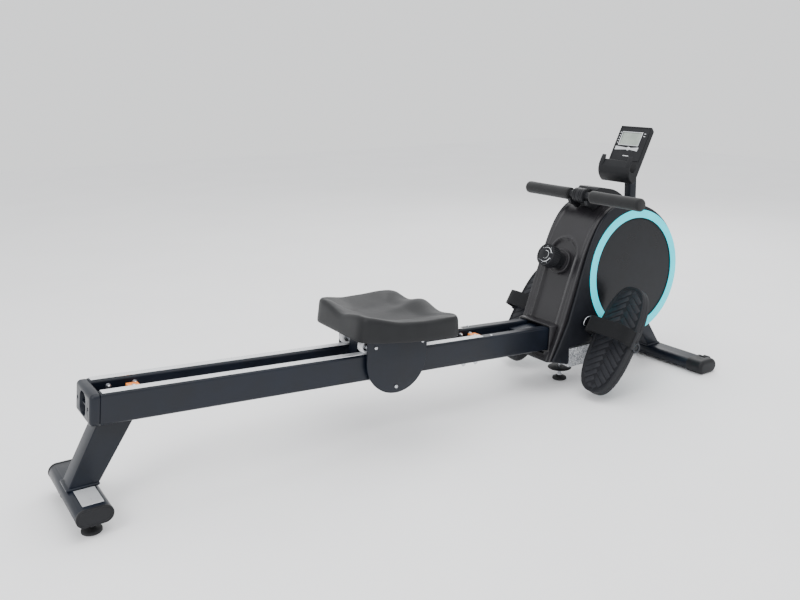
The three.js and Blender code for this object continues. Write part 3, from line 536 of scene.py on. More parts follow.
def hammered_grey():
    """Grey speckled paint: light and dark flecks of about 1.5 mm."""
    material, tree, shader = blank("speckled_grey_paint", "7d8085", 0.5, IOR=1.5)
    flecks = add(tree, "TexVoronoi", {"Scale": 1 / 0.0022, "Randomness": 1.0}, Vector=place_in(tree))
    grey = add(tree, "RGBToBW", Color=flecks.outputs["Color"])
    colour_between(tree, shader, grey.outputs["Val"], "55585e", "c9cbce", 0.25, 0.8)
    relief(tree, shader, grey.outputs["Val"], 0.0001, 0.4)
    return material


def woven_webbing():
    """Black polyester webbing: ribs across it every 1.6 mm and a crossing weave, on the strap's own map."""
    material, tree, shader = blank("woven_webbing", "0d0e10", 0.82, IOR=1.5, Specular_IOR_Level=0.2,
                                   Sheen_Weight=0.04)
    strap_map = add(tree, "UVMap", {"uv_map": "weave"})
    # the map is in metres: across the strap and along it
    ribs = add(tree, "TexWave", {"Scale": 2 * math.pi / (20 * 0.0016), "wave_type": "BANDS",
                                 "bands_direction": "Y", "Distortion": 0.4, "Detail": 1.0},
               Vector=strap_map.outputs["UV"])
    ends = add(tree, "TexWave", {"Scale": 2 * math.pi / (20 * 0.0024), "wave_type": "BANDS",
                                 "bands_direction": "DIAGONAL"}, Vector=strap_map.outputs["UV"])
    both = add(tree, "Math", {"operation": "MULTIPLY"})
    tree.links.new(ribs.outputs["Fac"], both.inputs[0])
    tree.links.new(ends.outputs["Fac"], both.inputs[1])
    colour_between(tree, shader, both.outputs["Value"], "0d0e10", "16171a")
    relief(tree, shader, both.outputs["Value"], 0.0003, 0.6)
    return material


def display_glass():
    """Liquid crystal display: grey-green and glossy."""
    material, tree, shader = blank("display_glass", "8f988f", 0.12, IOR=1.52)
    mottle(tree, shader, "8a938b", "9aa29a", place_in(tree), 30)
    return material


def white_print():
    """Screen-printed white ink: a scale and marks, slightly worn."""
    material, tree, shader = blank("white_ink", "d9dbdd", 0.5, IOR=1.5)
    mottle(tree, shader, "c4c7ca", "e4e6e8", place_in(tree), 300)
    return material


steel_paint = powder_coated_steel()
fairing_plastic = grained_plastic("moulded_abs_charcoal", "1d1c1f", "222124", 0.36, 0.0007, 0.00004, 0.42)
cover_plastic = grained_plastic("moulded_abs_black", "111318", "16181e", 0.46, 0.0007, 0.00005)
disc_plastic = grained_plastic("smooth_abs_disc", "0c0e12", "111318", 0.3, 0.0009, 0.00002)
black_plastic = grained_plastic("moulded_nylon_black", "141518", "1a1b1e", 0.48, 0.0006, 0.00006)
pedal_plastic = grained_plastic("moulded_polypropylene", "16171b", "1c1d21", 0.52, 0.0008, 0.00008)
tread_plastic = grained_plastic("moulded_tread", "1e1f24", "26272b", 0.46, 0.0008, 0.00008)
roller_nylon = grained_plastic("roller_nylon", "d2d4d8", "e0e1e4", 0.4, 0.001, 0.00003)
foam_skin = seat_foam()
strip_metal = running_strip()
zinc_plate = bright_metal("zinc_plated_steel", "c6c8cc", 0.26)
chrome_trim = bright_metal("chromed_trim", "dfe1e4", 0.14, (200, 200, 200))
label_metal = bright_metal("brushed_label", "d2d4d7", 0.36, (900, 40, 900), metallic=0.45)
# the cyan ring's acrylic, whose emission is a painted glow
acrylic = painted_glow_acrylic()
black_rubber = rubber("moulded_rubber_black", "101114", "17181b")
orange_rubber = rubber("moulded_rubber_orange", "e8842a", "f2953c", 0.58)
foam_grip = grip_foam()
speckled = hammered_grey()
webbing = woven_webbing()
glass = display_glass()
ink = white_print()


# ------------------------------------------------------------------ outlines

def bezier(a, b, c, d, steps):
    """Points on a curve from a to d, without the last one."""
    points = []
    for step in range(steps):
        t = step / steps
        r = 1 - t
        points.append(tuple(r ** 3 * a[i] + 3 * r * r * t * b[i] + 3 * r * t * t * c[i] + t ** 3 * d[i]
                            for i in (0, 1)))
    return points


def oval(centre_x, centre_z, width, height, steps=12):
    """A flat oval: two half rounds and two straight sides."""
    radius = height / 2
    points = []
    for way in (1, -1):
        for step in range(steps + 1):
            turn = math.pi * (step / steps - 0.5)
            points.append((centre_x + way * (width / 2 - radius + radius * math.cos(turn)),
                           centre_z + way * radius * math.sin(turn)))
    return points


front_x = HUB.x - 0.2825            # the rails' front end, which the housing is set out from
NOTCH_X, NOTCH_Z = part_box("base_box")[0].x - 0.0015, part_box("base_box")[1].z + 0.0015
CROWN = Vector((HUB.x - 0.0475, 0, HUB.z + 0.222))
SHOULDER_Z = 0.211
FRONT_RADIUS = 0.203


def housing_curve(rear_inset=0.0, drop=0.0):
    """The housing's side outline as (x, z): sole, notch, round front, crown, fascia."""
    radius = FRONT_RADIUS - drop
    notch_z = NOTCH_Z + drop
    notch_x = NOTCH_X - drop
    meet_x = HUB.x - math.sqrt(radius ** 2 - (HUB.z - notch_z) ** 2)
    start = math.atan2(notch_z - HUB.z, meet_x - HUB.x)
    end = math.radians(30)
    points = [(front_x - 0.069 + rear_inset * 0.4, 0.102 + drop), (notch_x, 0.082 + drop)]
    points += [(notch_x, notch_z), ((notch_x + meet_x) / 2, notch_z)]
    for step in range(40):
        turn = start + (end - start) * step / 40
        points.append((HUB.x + radius * math.cos(turn), HUB.z + radius * math.sin(turn)))
    top = (HUB.x + radius * math.cos(end), HUB.z + radius * math.sin(end))
    crown = (CROWN.x, CROWN.z - drop)
    shoulder = (front_x - 0.015 + rear_inset, SHOULDER_Z)
    points += bezier(top, (top[0] - 0.0425, top[1] + 0.0736), (crown[0] + 0.1, crown[1]), crown, 20)
    points += bezier(crown, (crown[0] - 0.134, crown[1]), (shoulder[0] + 0.078, shoulder[1] + 0.194),
                     shoulder, 90)
    points += [shoulder, (front_x - 0.047 + rear_inset * 0.7, 0.145)]
    return points


# ------------------------------------------------------------------ steel frame

def steelwork():
    """The tubes keep their shape from the frame, with rounded edges and paint."""
    for node, width in (("rail_left", 0.0006), ("rail_right", 0.0006), ("stop_bridge", 0.001),
                        ("rear_leg", 0.003), ("rear_stabiliser", 0.0006), ("front_stabiliser", 0.0006),
                        ("main_frame", 0.002), ("front_brace", 0.003), ("pedal_bar", 0.001),
                        ("console_post", 0.0008), ("seat_frame", 0.0015)):
        soften(node, steel_paint, width)
    for side, _ in SIDES:
        soften(f"rail_strip_{side}", strip_metal, 0.0004)
    soften("base_box", speckled, 0.002)
    soften("flywheel", zinc_plate, 0.001)
    soften("strap_spool", black_plastic, 0.001)
    for place in ("rear", "front", "lower"):
        soften(f"seat_axle_{place}", zinc_plate, 0.0008)


def pan_screw(name, radius, height, place, axis):
    """A domed screw head with a hexagon socket, standing on place."""
    head = turned(name, [(0, 0), (radius, 0), (radius, height * 0.35), (radius * 0.82, height * 0.8),
                         (radius * 0.5, height), (0, height)], (0, 0, 0), Z, 24)
    socket = rod("socket", radius * 0.42, height, (0, 0, height), Z, 6)
    carve(head, socket)
    smooth(head, 40)
    return settle(head, standing(place, axis))


def cap_nut(name, radius, place, axis):
    """A hexagon nut with a washer and a domed end."""
    nut = rod(name, radius, radius * 0.8, (0, 0, radius * 0.55), Z, 6)
    round_edges(nut, radius * 0.1, 2)
    washer = turned("washer", [(0, 0), (radius * 1.25, 0), (radius * 1.25, radius * 0.16), (0, radius * 0.16)],
                    (0, 0, 0), Z, 28)
    dome = turned("dome", [(0, radius * 0.8), (radius * 0.72, radius * 0.8), (radius * 0.66, radius * 1.2),
                           (radius * 0.4, radius * 1.5), (0, radius * 1.62)], (0, 0, 0), Z, 24)
    join(nut, washer, dome)
    smooth(nut, 40)
    return settle(nut, standing(place, axis))


def fasten(piece):
    """Hands over a plated fastener that was drawn in rail coordinates."""
    hand_over(settle(piece, on_rail), "base", zinc_plate, "bright_steel")


def end_cap():
    """The moulded cap over the rails' rear end: rounded corners, a deep window and two screws."""
    reach = RAIL_OUTER + 0.0004
    cap = block("end_cap_shell", (0, -reach, -RAIL_HEIGHT - 0.0004), (0.0262, reach, 0.0004))
    bevel_edges(cap, lambda m, run: abs(run.x) > 0.9, 0.010, 6)
    window = block("window", (-0.01, -0.024, -0.061), (0.0195, 0.024, -0.010))
    bevel_edges(window, lambda m, run: abs(run.x) > 0.9, 0.0165, 8)
    carve(cap, window)
    for side, way in SIDES:
        carve(cap, rod("screw_hole", 0.0042, 0.006, (0, way * 0.044, -RAIL_HEIGHT / 2), X, 20))
    round_edges(cap, 0.0009, 2)
    smooth(cap)
    hand_over(settle(cap, on_rail), "base", steel_paint, "satin_paint", "rail_end_cap")
    ledge = block("end_cap_ledge", (0.004, -0.020, -0.040), (0.019, 0.020, -0.036))
    round_edges(ledge, 0.0012, 2)
    hand_over(settle(smooth(ledge), on_rail), "base", steel_paint, "satin_paint")
    for side, way in SIDES:
        screw = pan_screw(f"end_cap_screw_{side}", 0.0036, 0.002, (0.0032, way * 0.044, -RAIL_HEIGHT / 2), -X)
        fasten(screw)


def rail_hardware():
    """Bolts through the rails and the nuts that hang under them."""
    heads = (("rear_bolt_a", 0.063), ("rear_bolt_b", 0.122), ("front_bolt_a", 1.062), ("front_bolt_b", 1.096))
    inner = RAIL_MIDDLE - 0.015
    for name, along in heads:
        for side, way in SIDES:
            bolt = cap_nut(f"{name}_{side}", 0.0052, (along, way * inner, -0.016), (0, -way, 0))
            fasten(bolt)
    for number, along in enumerate((1.013, 1.056)):
        for side, way in SIDES:
            nut = cap_nut(f"rail_nut_{number}_{side}", 0.0065, (along, way * RAIL_MIDDLE, -RAIL_HEIGHT), -Z)
            fasten(nut)
    for side, way in SIDES:
        screw = pan_screw(f"rail_screw_{side}", 0.0045, 0.0025, (1.104, way * (RAIL_MIDDLE + 0.006), 0), Z)
        fasten(screw)


def stops():
    """Orange rubber buffers with a rounded top and two grooves, each held by a screw."""
    for place in ("rear", "front"):
        low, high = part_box(f"{place}_stop")
        along, _ = along_rail((low + high) / 2)
        reach, half_width = 0.0135, high.y
        buffer = block(f"{place}_buffer", (along - reach, -half_width, -0.0237),
                       (along + reach, half_width, -0.009))
        inset_faces(buffer, lambda m, n: n.z > 0.9, (0.006, -0.0015))
        round_edges(buffer, 0.0022, 3)
        for way in (-1, 1):
            carve(buffer, block("groove", (along - 0.02, way * 0.0125 - 0.001, -0.0115),
                                (along + 0.02, way * 0.0125 + 0.001, -0.005)))
        smooth(buffer)
        hand_over(settle(buffer, on_rail), "base", orange_rubber, "orange_rubber", f"{place}_stop")
        screw = pan_screw(f"{place}_buffer_screw", 0.0042, 0.0018, (along, 0, -0.0105), Z)
        fasten(screw)


def leg_fittings():
    """The welds under the leg and the brace, and the blank plate on the rear tube."""
    leg_low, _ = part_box("rear_leg")
    brace_low, brace_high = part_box("front_brace")
    leg_depth = 0.065
    welds = (("leg_weld", (leg_low.x - 0.003, leg_low.y - 0.0035, leg_low.z - 0.002),
              (leg_low.x + leg_depth + 0.003, -leg_low.y + 0.0035, leg_low.z + 0.0052), 0.003),
             ("brace_weld", (brace_high.x - 0.0577, brace_low.y - 0.003, brace_low.z - 0.002),
              (brace_high.x + 0.002, -brace_low.y + 0.003, brace_low.z + 0.005), 0.0026))
    for name, low, high, width in welds:
        bead = smooth(round_edges(block(name, low, high), width, 4))
        hand_over(bead, "base", steel_paint, "satin_paint")
    tube_low, tube_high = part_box("rear_stabiliser")
    centre = (tube_low.x + tube_high.x) / 2
    plate = block("blank_plate", (centre - 0.020, -0.113, tube_high.z - 0.0003),
                  (centre + 0.024, -0.0335, tube_high.z + 0.0007))
    inset_faces(plate, lambda m, n: n.z > 0.9, (0.0022, -0.0003))
    round_edges(plate, 0.0002, 1)
    hand_over(smooth(plate), "base", label_metal, "bright_steel")
    for side, way in (("near", -0.1095), ("far", -0.037)):
        rivet = pan_screw(f"plate_rivet_{side}", 0.0016, 0.0009, (centre + 0.002, way, tube_high.z + 0.0004), Z)
        hand_over(rivet, "base", zinc_plate, "bright_steel")


def tube_ends():
    """Moulded caps on the stabilisers: a rim line at the rear, round noses with wheel slots in front."""
    for side, way in SIDES:
        low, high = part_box(f"rear_cap_{side}")
        centre = (low + high) / 2
        cap = outline_plate(f"rear_tube_cap_{side}", oval(centre.x, centre.z, high.x - low.x + 0.001,
                            high.z - low.z + 0.001), high.y - low.y, centre.y)
        inset_faces(cap, lambda m, n: n.y * way > 0.9, (0.0035, -0.0008), (0.0006, 0), (0.0015, 0.0012))
        round_edges(cap, 0.0008, 3, 40)
        hand_over(smooth(cap), "base", black_plastic, "black_plastic", f"rear_cap_{side}")

        low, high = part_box(f"front_cap_{side}")
        centre = (low + high) / 2
        shell = outline_plate(f"front_tube_cap_{side}", oval(centre.x, centre.z, high.x - low.x,
                              high.z - low.z, 16), high.y - low.y, centre.y)
        outer = high.y if way > 0 else low.y
        bevel_edges(shell, lambda m, run: abs(m.y - outer) < 0.0001, 0.011, 7)
        wheel_low, wheel_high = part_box(f"transport_wheel_{side}")
        room = 0.002
        carve(shell, block("wheel_slot", (wheel_low.x - room, wheel_low.y - room, -0.02),
                           (wheel_high.x + 0.05, wheel_high.y + room, 0.06)))
        round_edges(shell, 0.0008, 2, 45)
        hand_over(smooth(shell, 40), "base", black_plastic, "black_plastic", f"front_cap_{side}")
        wheel_centre = (wheel_low + wheel_high) / 2
        pin = round_edges(rod(f"wheel_pin_{side}", 0.004, 0.026, wheel_centre, Y, 20), 0.0005, 2)
        hand_over(smooth(pin), "base", zinc_plate, "bright_steel")


def transport_wheels():
    """Small rubber wheels with three tread grooves and a dished hub."""
    half, radius = 0.009, 0.020
    profile = [(0.0045, -half), (0.009, -half), (0.0095, -half + 0.0025), (0.0145, -half + 0.0025),
               (0.0155, -half), (radius - 0.002, -half), (radius, -half + 0.002)]
    for groove in (-0.0045, 0.0, 0.0045):
        profile += [(radius, groove - 0.0009), (radius - 0.0012, groove - 0.0005),
                    (radius - 0.0012, groove + 0.0005), (radius, groove + 0.0009)]
    profile += [(radius, half - 0.002), (radius - 0.002, half), (0.0155, half), (0.0145, half - 0.0025),
                (0.0095, half - 0.0025), (0.009, half), (0.0045, half)]
    model = smooth(turned("wheel_model", profile, (0, 0, 0), Y, 56), 32)
    for side, _ in SIDES:
        wheel = copy_of(model, f"rubber_wheel_{side}", Matrix.Translation(middle(f"transport_wheel_{side}")))
        hand_over(wheel, f"transport_wheel_{side}", black_rubber, "black_rubber", f"transport_wheel_{side}")
    bpy.data.objects.remove(model)


def levelling_feet():
    """Threaded feet: a ribbed rubber pad, a steel disc and a stud with its lock nut."""
    for node, disc_radius, disc_z, top in (("rear_foot_left", 0.025, 0.022, 0.043),
                                           ("rear_foot_right", 0.025, 0.022, 0.043),
                                           ("middle_foot", 0.037, 0.036, 0.087)):
        centre = middle(node)
        centre.z = 0
        pad = turned(f"{node}_pad", [(0, 0), (0.0205, 0), (0.022, 0.0015), (0.022, 0.0052), (0.0208, 0.006),
                                     (0.0208, 0.0066), (0.0212, 0.0074), (0.018, 0.009), (0.011, 0.0105),
                                     (0.0085, 0.0125), (0, 0.0125)], centre, Z, 56)
        hand_over(smooth(pad, 32), node, black_rubber, "black_rubber", node)
        disc = turned(f"{node}_disc", [(0, disc_z), (disc_radius - 0.002, disc_z),
                                       (disc_radius, disc_z + 0.0015), (disc_radius, disc_z + 0.0028),
                                       (disc_radius - 0.002, disc_z + 0.004),
                                       (0.011, disc_z + 0.0046), (0, disc_z + 0.0046)], centre, Z, 56)
        hand_over(smooth(disc, 32), node, black_plastic, "black_rubber")
        stud = rod(f"{node}_stud", 0.0048, top - 0.011, centre + Vector((0, 0, (top + 0.011) / 2)), Z, 24)
        nut = rod("lock_nut", 0.0085, 0.0055, centre + Vector((0, 0, 0.0155)), Z, 6)
        round_edges(nut, 0.0008, 2)
        root, start, half_pitch = 0.0044, 0.018, 0.0007
        ridges = [(root + 0.0009 * (turn % 2), start + turn * half_pitch)
                  for turn in range(int((disc_z - start) / half_pitch))]
        core = [(root, disc_z), (0.003, disc_z), (0.003, start)]
        threads = turned("threads", [(root, start)] + ridges + core, centre, Z, 24)
        join(stud, nut, threads)
        hand_over(smooth(stud, 40), node, zinc_plate, "bright_steel")


# ------------------------------------------------------------------ seat

def seat_plan(steps=28):
    """The cushion's plan, half of it, as (x, y): narrow behind, widening to two wings in front."""
    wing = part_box("seat_cushion")[1].y
    rear, end = wing - 0.045, 0.140
    half = [(-end, 0.0), (-end, (rear - 0.044) / 2)]
    half += bezier((-end, rear - 0.044), (-end, rear - 0.017), (-end + 0.006, rear - 0.005),
                   (-end + 0.020, rear), 12)
    half += bezier((-end + 0.020, rear), (-end + 0.058, rear + 0.018), (-0.020, wing - 0.004),
                   (end - 0.062, wing), steps)
    half += bezier((end - 0.062, wing), (end - 0.034, wing), (end - 0.018, wing),
                   (end - 0.010, wing - 0.010), 9)
    half += bezier((end - 0.010, wing - 0.010), (end - 0.002, wing - 0.020), (end, wing - 0.028),
                   (end, wing - 0.040), 9)
    return half + [(end, wing - 0.040), (end, 0.105), (end, 0.078), (end, 0.052), (end, 0.026), (end, 0.0)]


def ease(low, high, value):
    """0 below low, 1 above high and a smooth rise between."""
    t = max(0.0, min(1.0, (value - low) / (high - low)))
    return t * t * (3 - 2 * t)


def rim_height(x, y):
    """How high the cushion's rim stands over its underside."""
    rear = 0.0135 * (1 - ease(-0.130, -0.030, x))
    wing = 0.0040 * ease(0.020, 0.100, x)
    dip = 0.0095 * ease(0.070, 0.128, x) * math.exp(-((abs(y) - 0.078) / 0.036) ** 2)
    return 0.0515 + rear + wing - dip


def cushion_height(x, y, share):
    """Height over the underside; share is 0 in the middle and 1 at the rim."""
    ridge = 0.0170 * ease(0.0, 0.122, x) * math.exp(-(y / 0.034) ** 2)
    hollow = 0.0050 * math.exp(-((abs(y) - 0.062) / 0.040) ** 2 - ((x + 0.020) / 0.070) ** 2)
    inside = 0.0400 + ridge - hollow
    height = inside + (rim_height(x, y) + 0.55 * ridge - inside) * ease(0.45, 0.98, share)
    tail = 0.0205 * math.exp(-(y / 0.038) ** 2) * ease(0.070, 0.134, -x)
    return height - tail


def cushion():
    """The moulded seat: one skin over foam, dished for the rower, with a rolled rim and a flared skirt."""
    half = seat_plan()
    plan = half[:-1] + [(x, -y) for x, y in reversed(half)][:-1]
    count = len(plan)
    rings = 22
    inset = 0.010

    def loop(share, offset, height_of):
        points = []
        for index, (x, y) in enumerate(plan):
            before, after = plan[index - 1], plan[(index + 1) % count]
            run = Vector((after[0] - before[0], after[1] - before[1])).normalized()
            out = Vector((-run.y, run.x))
            if out.dot(Vector((x, y))) < 0:
                out = -out
            px, py = (x + out.x * offset) * share, (y + out.y * offset) * share
            points.append((px, py, height_of(px, py, x)))
        return points

    skirt = [(-0.002, 0.0), (0.0005, 0.0012), (0.0012, 0.006), (0.0, 0.020), (-0.0012, 0.036)]
    loops = [loop(1, offset, lambda px, py, x, low=low: low) for offset, low in skirt]
    for offset, under in ((-0.0018, 0.0125), (-0.0030, 0.0072), (-0.0052, 0.0034), (-0.0076, 0.0011)):
        loops.append(loop(1, offset, lambda px, py, x, under=under: cushion_height(px, py, 1.0) - under))
    for share in (step / rings for step in range(rings, 0, -1)):
        loops.append(loop(share, -inset, lambda px, py, x, share=share: cushion_height(px, py, share)))
    seat = smooth(lofted("cushion", loops), 60)
    return modify(seat, "SUBSURF", levels=1, render_levels=1)


def seat_carriage():
    seat = cushion()
    base = on_seat @ Matrix.Translation((-0.003, 0, SEAT_BOTTOM))
    hand_over(settle(seat, base), "seat_carriage", foam_skin, "seat_foam", "seat_cushion")
    for side, way in SIDES:
        soften(f"seat_plate_{side}", steel_paint, 0.0012)
        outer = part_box(f"seat_plate_{side}")[1 if way > 0 else 0].y
        for name, x, z in (("rear", -0.068, 0.019), ("front", 0.078, 0.021), ("lower", 0.0, LOWER_AXLE)):
            screw = pan_screw(f"plate_screw_{name}_{side}", 0.0052, 0.0032, (x, outer, z), (0, way, 0))
            hand_over(settle(screw, on_seat), "seat_carriage", zinc_plate, "bright_steel")


def rollers():
    """Nylon rollers with a shoulder each side, a shallow tread and a bearing in the middle."""
    for node in sorted(n for n in frame["nodes"] if n.startswith("roller_")):
        low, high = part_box(node)
        radius, half = (high.x - low.x) / 2, (high.y - low.y) / 2
        bearing = 0.0105
        roller = turned(f"nylon_{node}", [
            (bearing, -half + 0.001), (bearing + 0.0015, -half), (radius - 0.0045, -half),
            (radius - 0.0022, -half + 0.0008), (radius - 0.0004, -half + 0.0022), (radius, -half + 0.0045),
            (radius, half - 0.0045), (radius - 0.0004, half - 0.0022), (radius - 0.0022, half - 0.0008),
            (radius - 0.0045, half), (bearing + 0.0015, half), (bearing, half - 0.001)], middle(node), Y, 56)
        hand_over(smooth(roller, 32), node, roller_nylon, "roller_plastic", node)
        race = turned(f"bearing_{node}", [
            (0.0056, -half + 0.0012), (0.0072, -half + 0.0012), (0.0074, -half + 0.0022),
            (0.0088, -half + 0.0022), (0.009, -half + 0.0012), (bearing, -half + 0.0012),
            (bearing, half - 0.0012), (0.009, half - 0.0012), (0.0088, half - 0.0022),
            (0.0074, half - 0.0022), (0.0072, half - 0.0012), (0.0056, half - 0.0012)],
            middle(node), Y, 40)
        hand_over(smooth(race, 32), node, zinc_plate, "roller_plastic")


# ------------------------------------------------------------------ housing

def fairing_depth(x, z, y):
    """How far the fairing's skin lies under its outline: two crests, a band and a sunk panel."""
    across = abs(y)
    depth = 0.0030 * (1 - ease(0.068, 0.076, across))
    depth += 0.0040 * max(0.0, (across - 0.0835) / 0.0042) ** 2
    if x < CROWN.x and z > 0.12:
        over = max(0.0, z - 0.400) * 1.12
        inside = 0.052 - math.hypot(across, over)
        depth += 0.0070 * ease(-0.0010, 0.0045, inside)
        depth -= 0.0030 * math.exp(-((inside + 0.0045) / 0.0036) ** 2)
    return depth


def inward_ways(outline):
    """For each point of a closed outline, the way into it, longer at the corners."""
    ways = []
    for index, (x, z) in enumerate(outline):
        before, after = outline[index - 1], outline[(index + 1) % len(outline)]
        a = Vector((x - before[0], z - before[1])).normalized()
        b = Vector((after[0] - x, after[1] - z)).normalized()
        run = (a + b).normalized()
        ways.append(Vector((-run.y, run.x)) / max(0.6, run.dot(a)))
    return ways


def fairing():
    """The skin between the covers, with its sunk panel, opened where the rails, brace, post and strap pass."""
    coarse = housing_curve()
    outline = []
    for a, b in zip(coarse, coarse[1:] + coarse[:1]):
        steps = max(1, round(math.hypot(b[0] - a[0], b[1] - a[1]) / 0.004))
        outline += [(a[0] + (b[0] - a[0]) * s / steps, a[1] + (b[1] - a[1]) * s / steps)
                    for s in range(steps)]
    inward = inward_ways(outline)
    half = FAIRING_HALF
    shares = [s / 40 for s in range(-38, 39)]
    for share in (0.955, 0.97, 0.985, 1):
        shares += [share, -share]
    loops = []
    for across in sorted({round(half * share, 5) for share in shares}):
        depths = [fairing_depth(x, z, across) for x, z in outline]
        loops.append([(x + way.x * sunk, across, z + way.y * sunk)
                      for (x, z), way, sunk in zip(outline, inward, depths)])
    skin = lofted("fairing_skin", loops, filled=False)
    brace_low, brace_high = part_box("front_brace")
    post_low, post_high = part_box("console_post")
    spool = middle("strap_spool")

    def open_here(m, n):
        local = on_rail.inverted() @ m
        rails = m.x < front_x + 0.1 and abs(m.y) < 0.0640 and -RAIL_HEIGHT - 0.002 < local.z < 0.002
        brace = brace_low.x - 0.070 < m.x < brace_high.x and abs(m.y) < 0.032 and m.z < 0.21
        post = post_low.x - 0.002 < m.x < post_high.x + 0.002 and abs(m.y) < 0.0155 and m.z > 0.45
        strap = spool.x - 0.022 < m.x < spool.x + 0.006 and abs(m.y) < 0.017 and m.z > 0.5
        return rails or brace or post or strap

    select(skin, open_here)
    bpy.ops.mesh.delete(type="FACE")
    done()
    modify(skin, "SOLIDIFY", thickness=0.0035, offset=-1, use_even_offset=False)
    smooth(skin, 40)
    hand_over(skin, "base", fairing_plastic, "fairing_plastic", "center_fairing")

    # the skin's edge turns in toward the side covers
    ways = inward_ways(coarse)
    edge = [(x + way.x * 0.0038, z + way.y * 0.0038) for (x, z), way in zip(coarse, ways)]
    inner = [(x + way.x * 0.0190, z + way.y * 0.0190) for (x, z), way in zip(coarse, ways)]
    flange = outline_plate("fairing_flange_left", edge, 0.0030, half - 0.0015)
    carve(flange, outline_plate("flange_inside", inner, 0.02, half))
    smooth(flange, 40)
    modify(flange, "WEIGHTED_NORMAL", keep_sharp=True)
    hand_over(mirrored(flange, "fairing_flange_right"), "base", fairing_plastic, "fairing_plastic")
    hand_over(flange, "base", fairing_plastic, "fairing_plastic")

    # the collar round the rails, and the boss behind the knob
    rear = (front_x - 0.049 - rear_top.x) / math.cos(SLOPE)
    rim = RAIL_OUTER + 0.007
    outer = RAIL_OUTER + 0.001
    collar = block("rail_collar", (rear, -rim, -RAIL_HEIGHT - 0.007), (rear + 0.034, rim, 0.007))
    bevel_edges(collar, lambda m, run: abs(run.x) > 0.9, 0.0075, 5)
    carve(collar, block("opening", (rear - 0.01, -outer, -RAIL_HEIGHT - 0.001), (rear + 0.05, outer, 0.001)))
    round_edges(collar, 0.0022, 3)
    hand_over(settle(smooth(collar), on_rail), "base", fairing_plastic, "fairing_plastic")
    boss = turned("knob_boss", [(0.0063, -0.026), (0.040, -0.026), (0.040, -0.003), (0.0385, -0.0008),
                                (0.0355, -0.0004), (0.0345, -0.0022), (0.030, -0.0024), (0.0290, -0.0003),
                                (0.0063, -0.0003)], KNOB_SEAT, KNOB_AXIS, 64)
    hand_over(smooth(boss, 32), "base", fairing_plastic, "fairing_plastic")

    # the lower moulding between the fascia and the box
    sill = block("lower_sill", (front_x - 0.052, -0.060, 0.090), (NOTCH_X - 0.0040, 0.060, 0.118))
    round_edges(sill, 0.004, 3)
    hand_over(smooth(sill), "base", cover_plastic, "fairing_plastic")


def side_covers():
    """Flat side covers with a rounded edge, a round disc and the cyan ring, whose glow is painted."""
    thick = COVER_OUTER - COVER_INNER
    cover = outline_plate("side_cover_left", housing_curve(0.015, 0.002), thick,
                          (COVER_OUTER + COVER_INNER) / 2)
    round_edges(cover, 0.0040, 4, 25)
    carve(cover, rod("ring_hole", DISC_RADIUS + 0.0003, 0.05, HUB + Y * COVER_OUTER, Y, 128))
    carve(cover, rod("bar_hole", 0.016, 0.05, middle("pedal_bar") + Y * COVER_OUTER, Y, 40))
    smooth(cover, 40)
    modify(cover, "WEIGHTED_NORMAL", keep_sharp=True)
    disc = turned("side_disc_left", [(0, -0.007), (DISC_RADIUS, -0.007), (DISC_RADIUS, -0.0012),
                                     (DISC_RADIUS - 0.0012, 0), (DISC_RADIUS - 0.0030, 0),
                                     (DISC_RADIUS - 0.0038, -0.0008), (DISC_RADIUS - 0.0046, 0), (0, 0)],
                  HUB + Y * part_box("housing_disc_left")[1].y, Y, 128)
    smooth(disc, 32)
    low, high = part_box("light_ring_left")
    inner, lift = DISC_RADIUS + 0.0003, high.y - low.y
    # the cyan ring; its material paints a glow with emission
    ring = turned("lit_ring_left", [(inner, 0), (RING_OUTER, 0), (RING_OUTER, lift - 0.0012),
                                    (RING_OUTER - 0.0005, lift - 0.0004), (RING_OUTER - 0.0016, lift),
                                    (inner + 0.0016, lift), (inner + 0.0005, lift - 0.0004),
                                    (inner, lift - 0.0012)],
                  HUB + Y * low.y, Y, 144)
    smooth(ring, 32)
    for model, node, material, finish in ((cover, "housing_cover", cover_plastic, "shell_plastic"),
                                          (disc, "housing_disc", disc_plastic, "disc_plastic"),
                                          (ring, "light_ring", acrylic, "cyan_plastic")):
        twin = mirrored(model, model.name.replace("left", "right"))
        hand_over(model, "base", material, finish, f"{node}_left")
        hand_over(twin, "base", material, finish, f"{node}_right")


# ------------------------------------------------------------------ knob

KNOB_AXIS = Vector(joint("knob_turn")["axis"]).normalized()
KNOB_SEAT = Vector(joint("knob_turn")["pos_m"])
KNOB_REACH = 0.062              # from its seat to its face
NECK_TOP = 0.0315               # where the neck ends and the ribbed cap starts


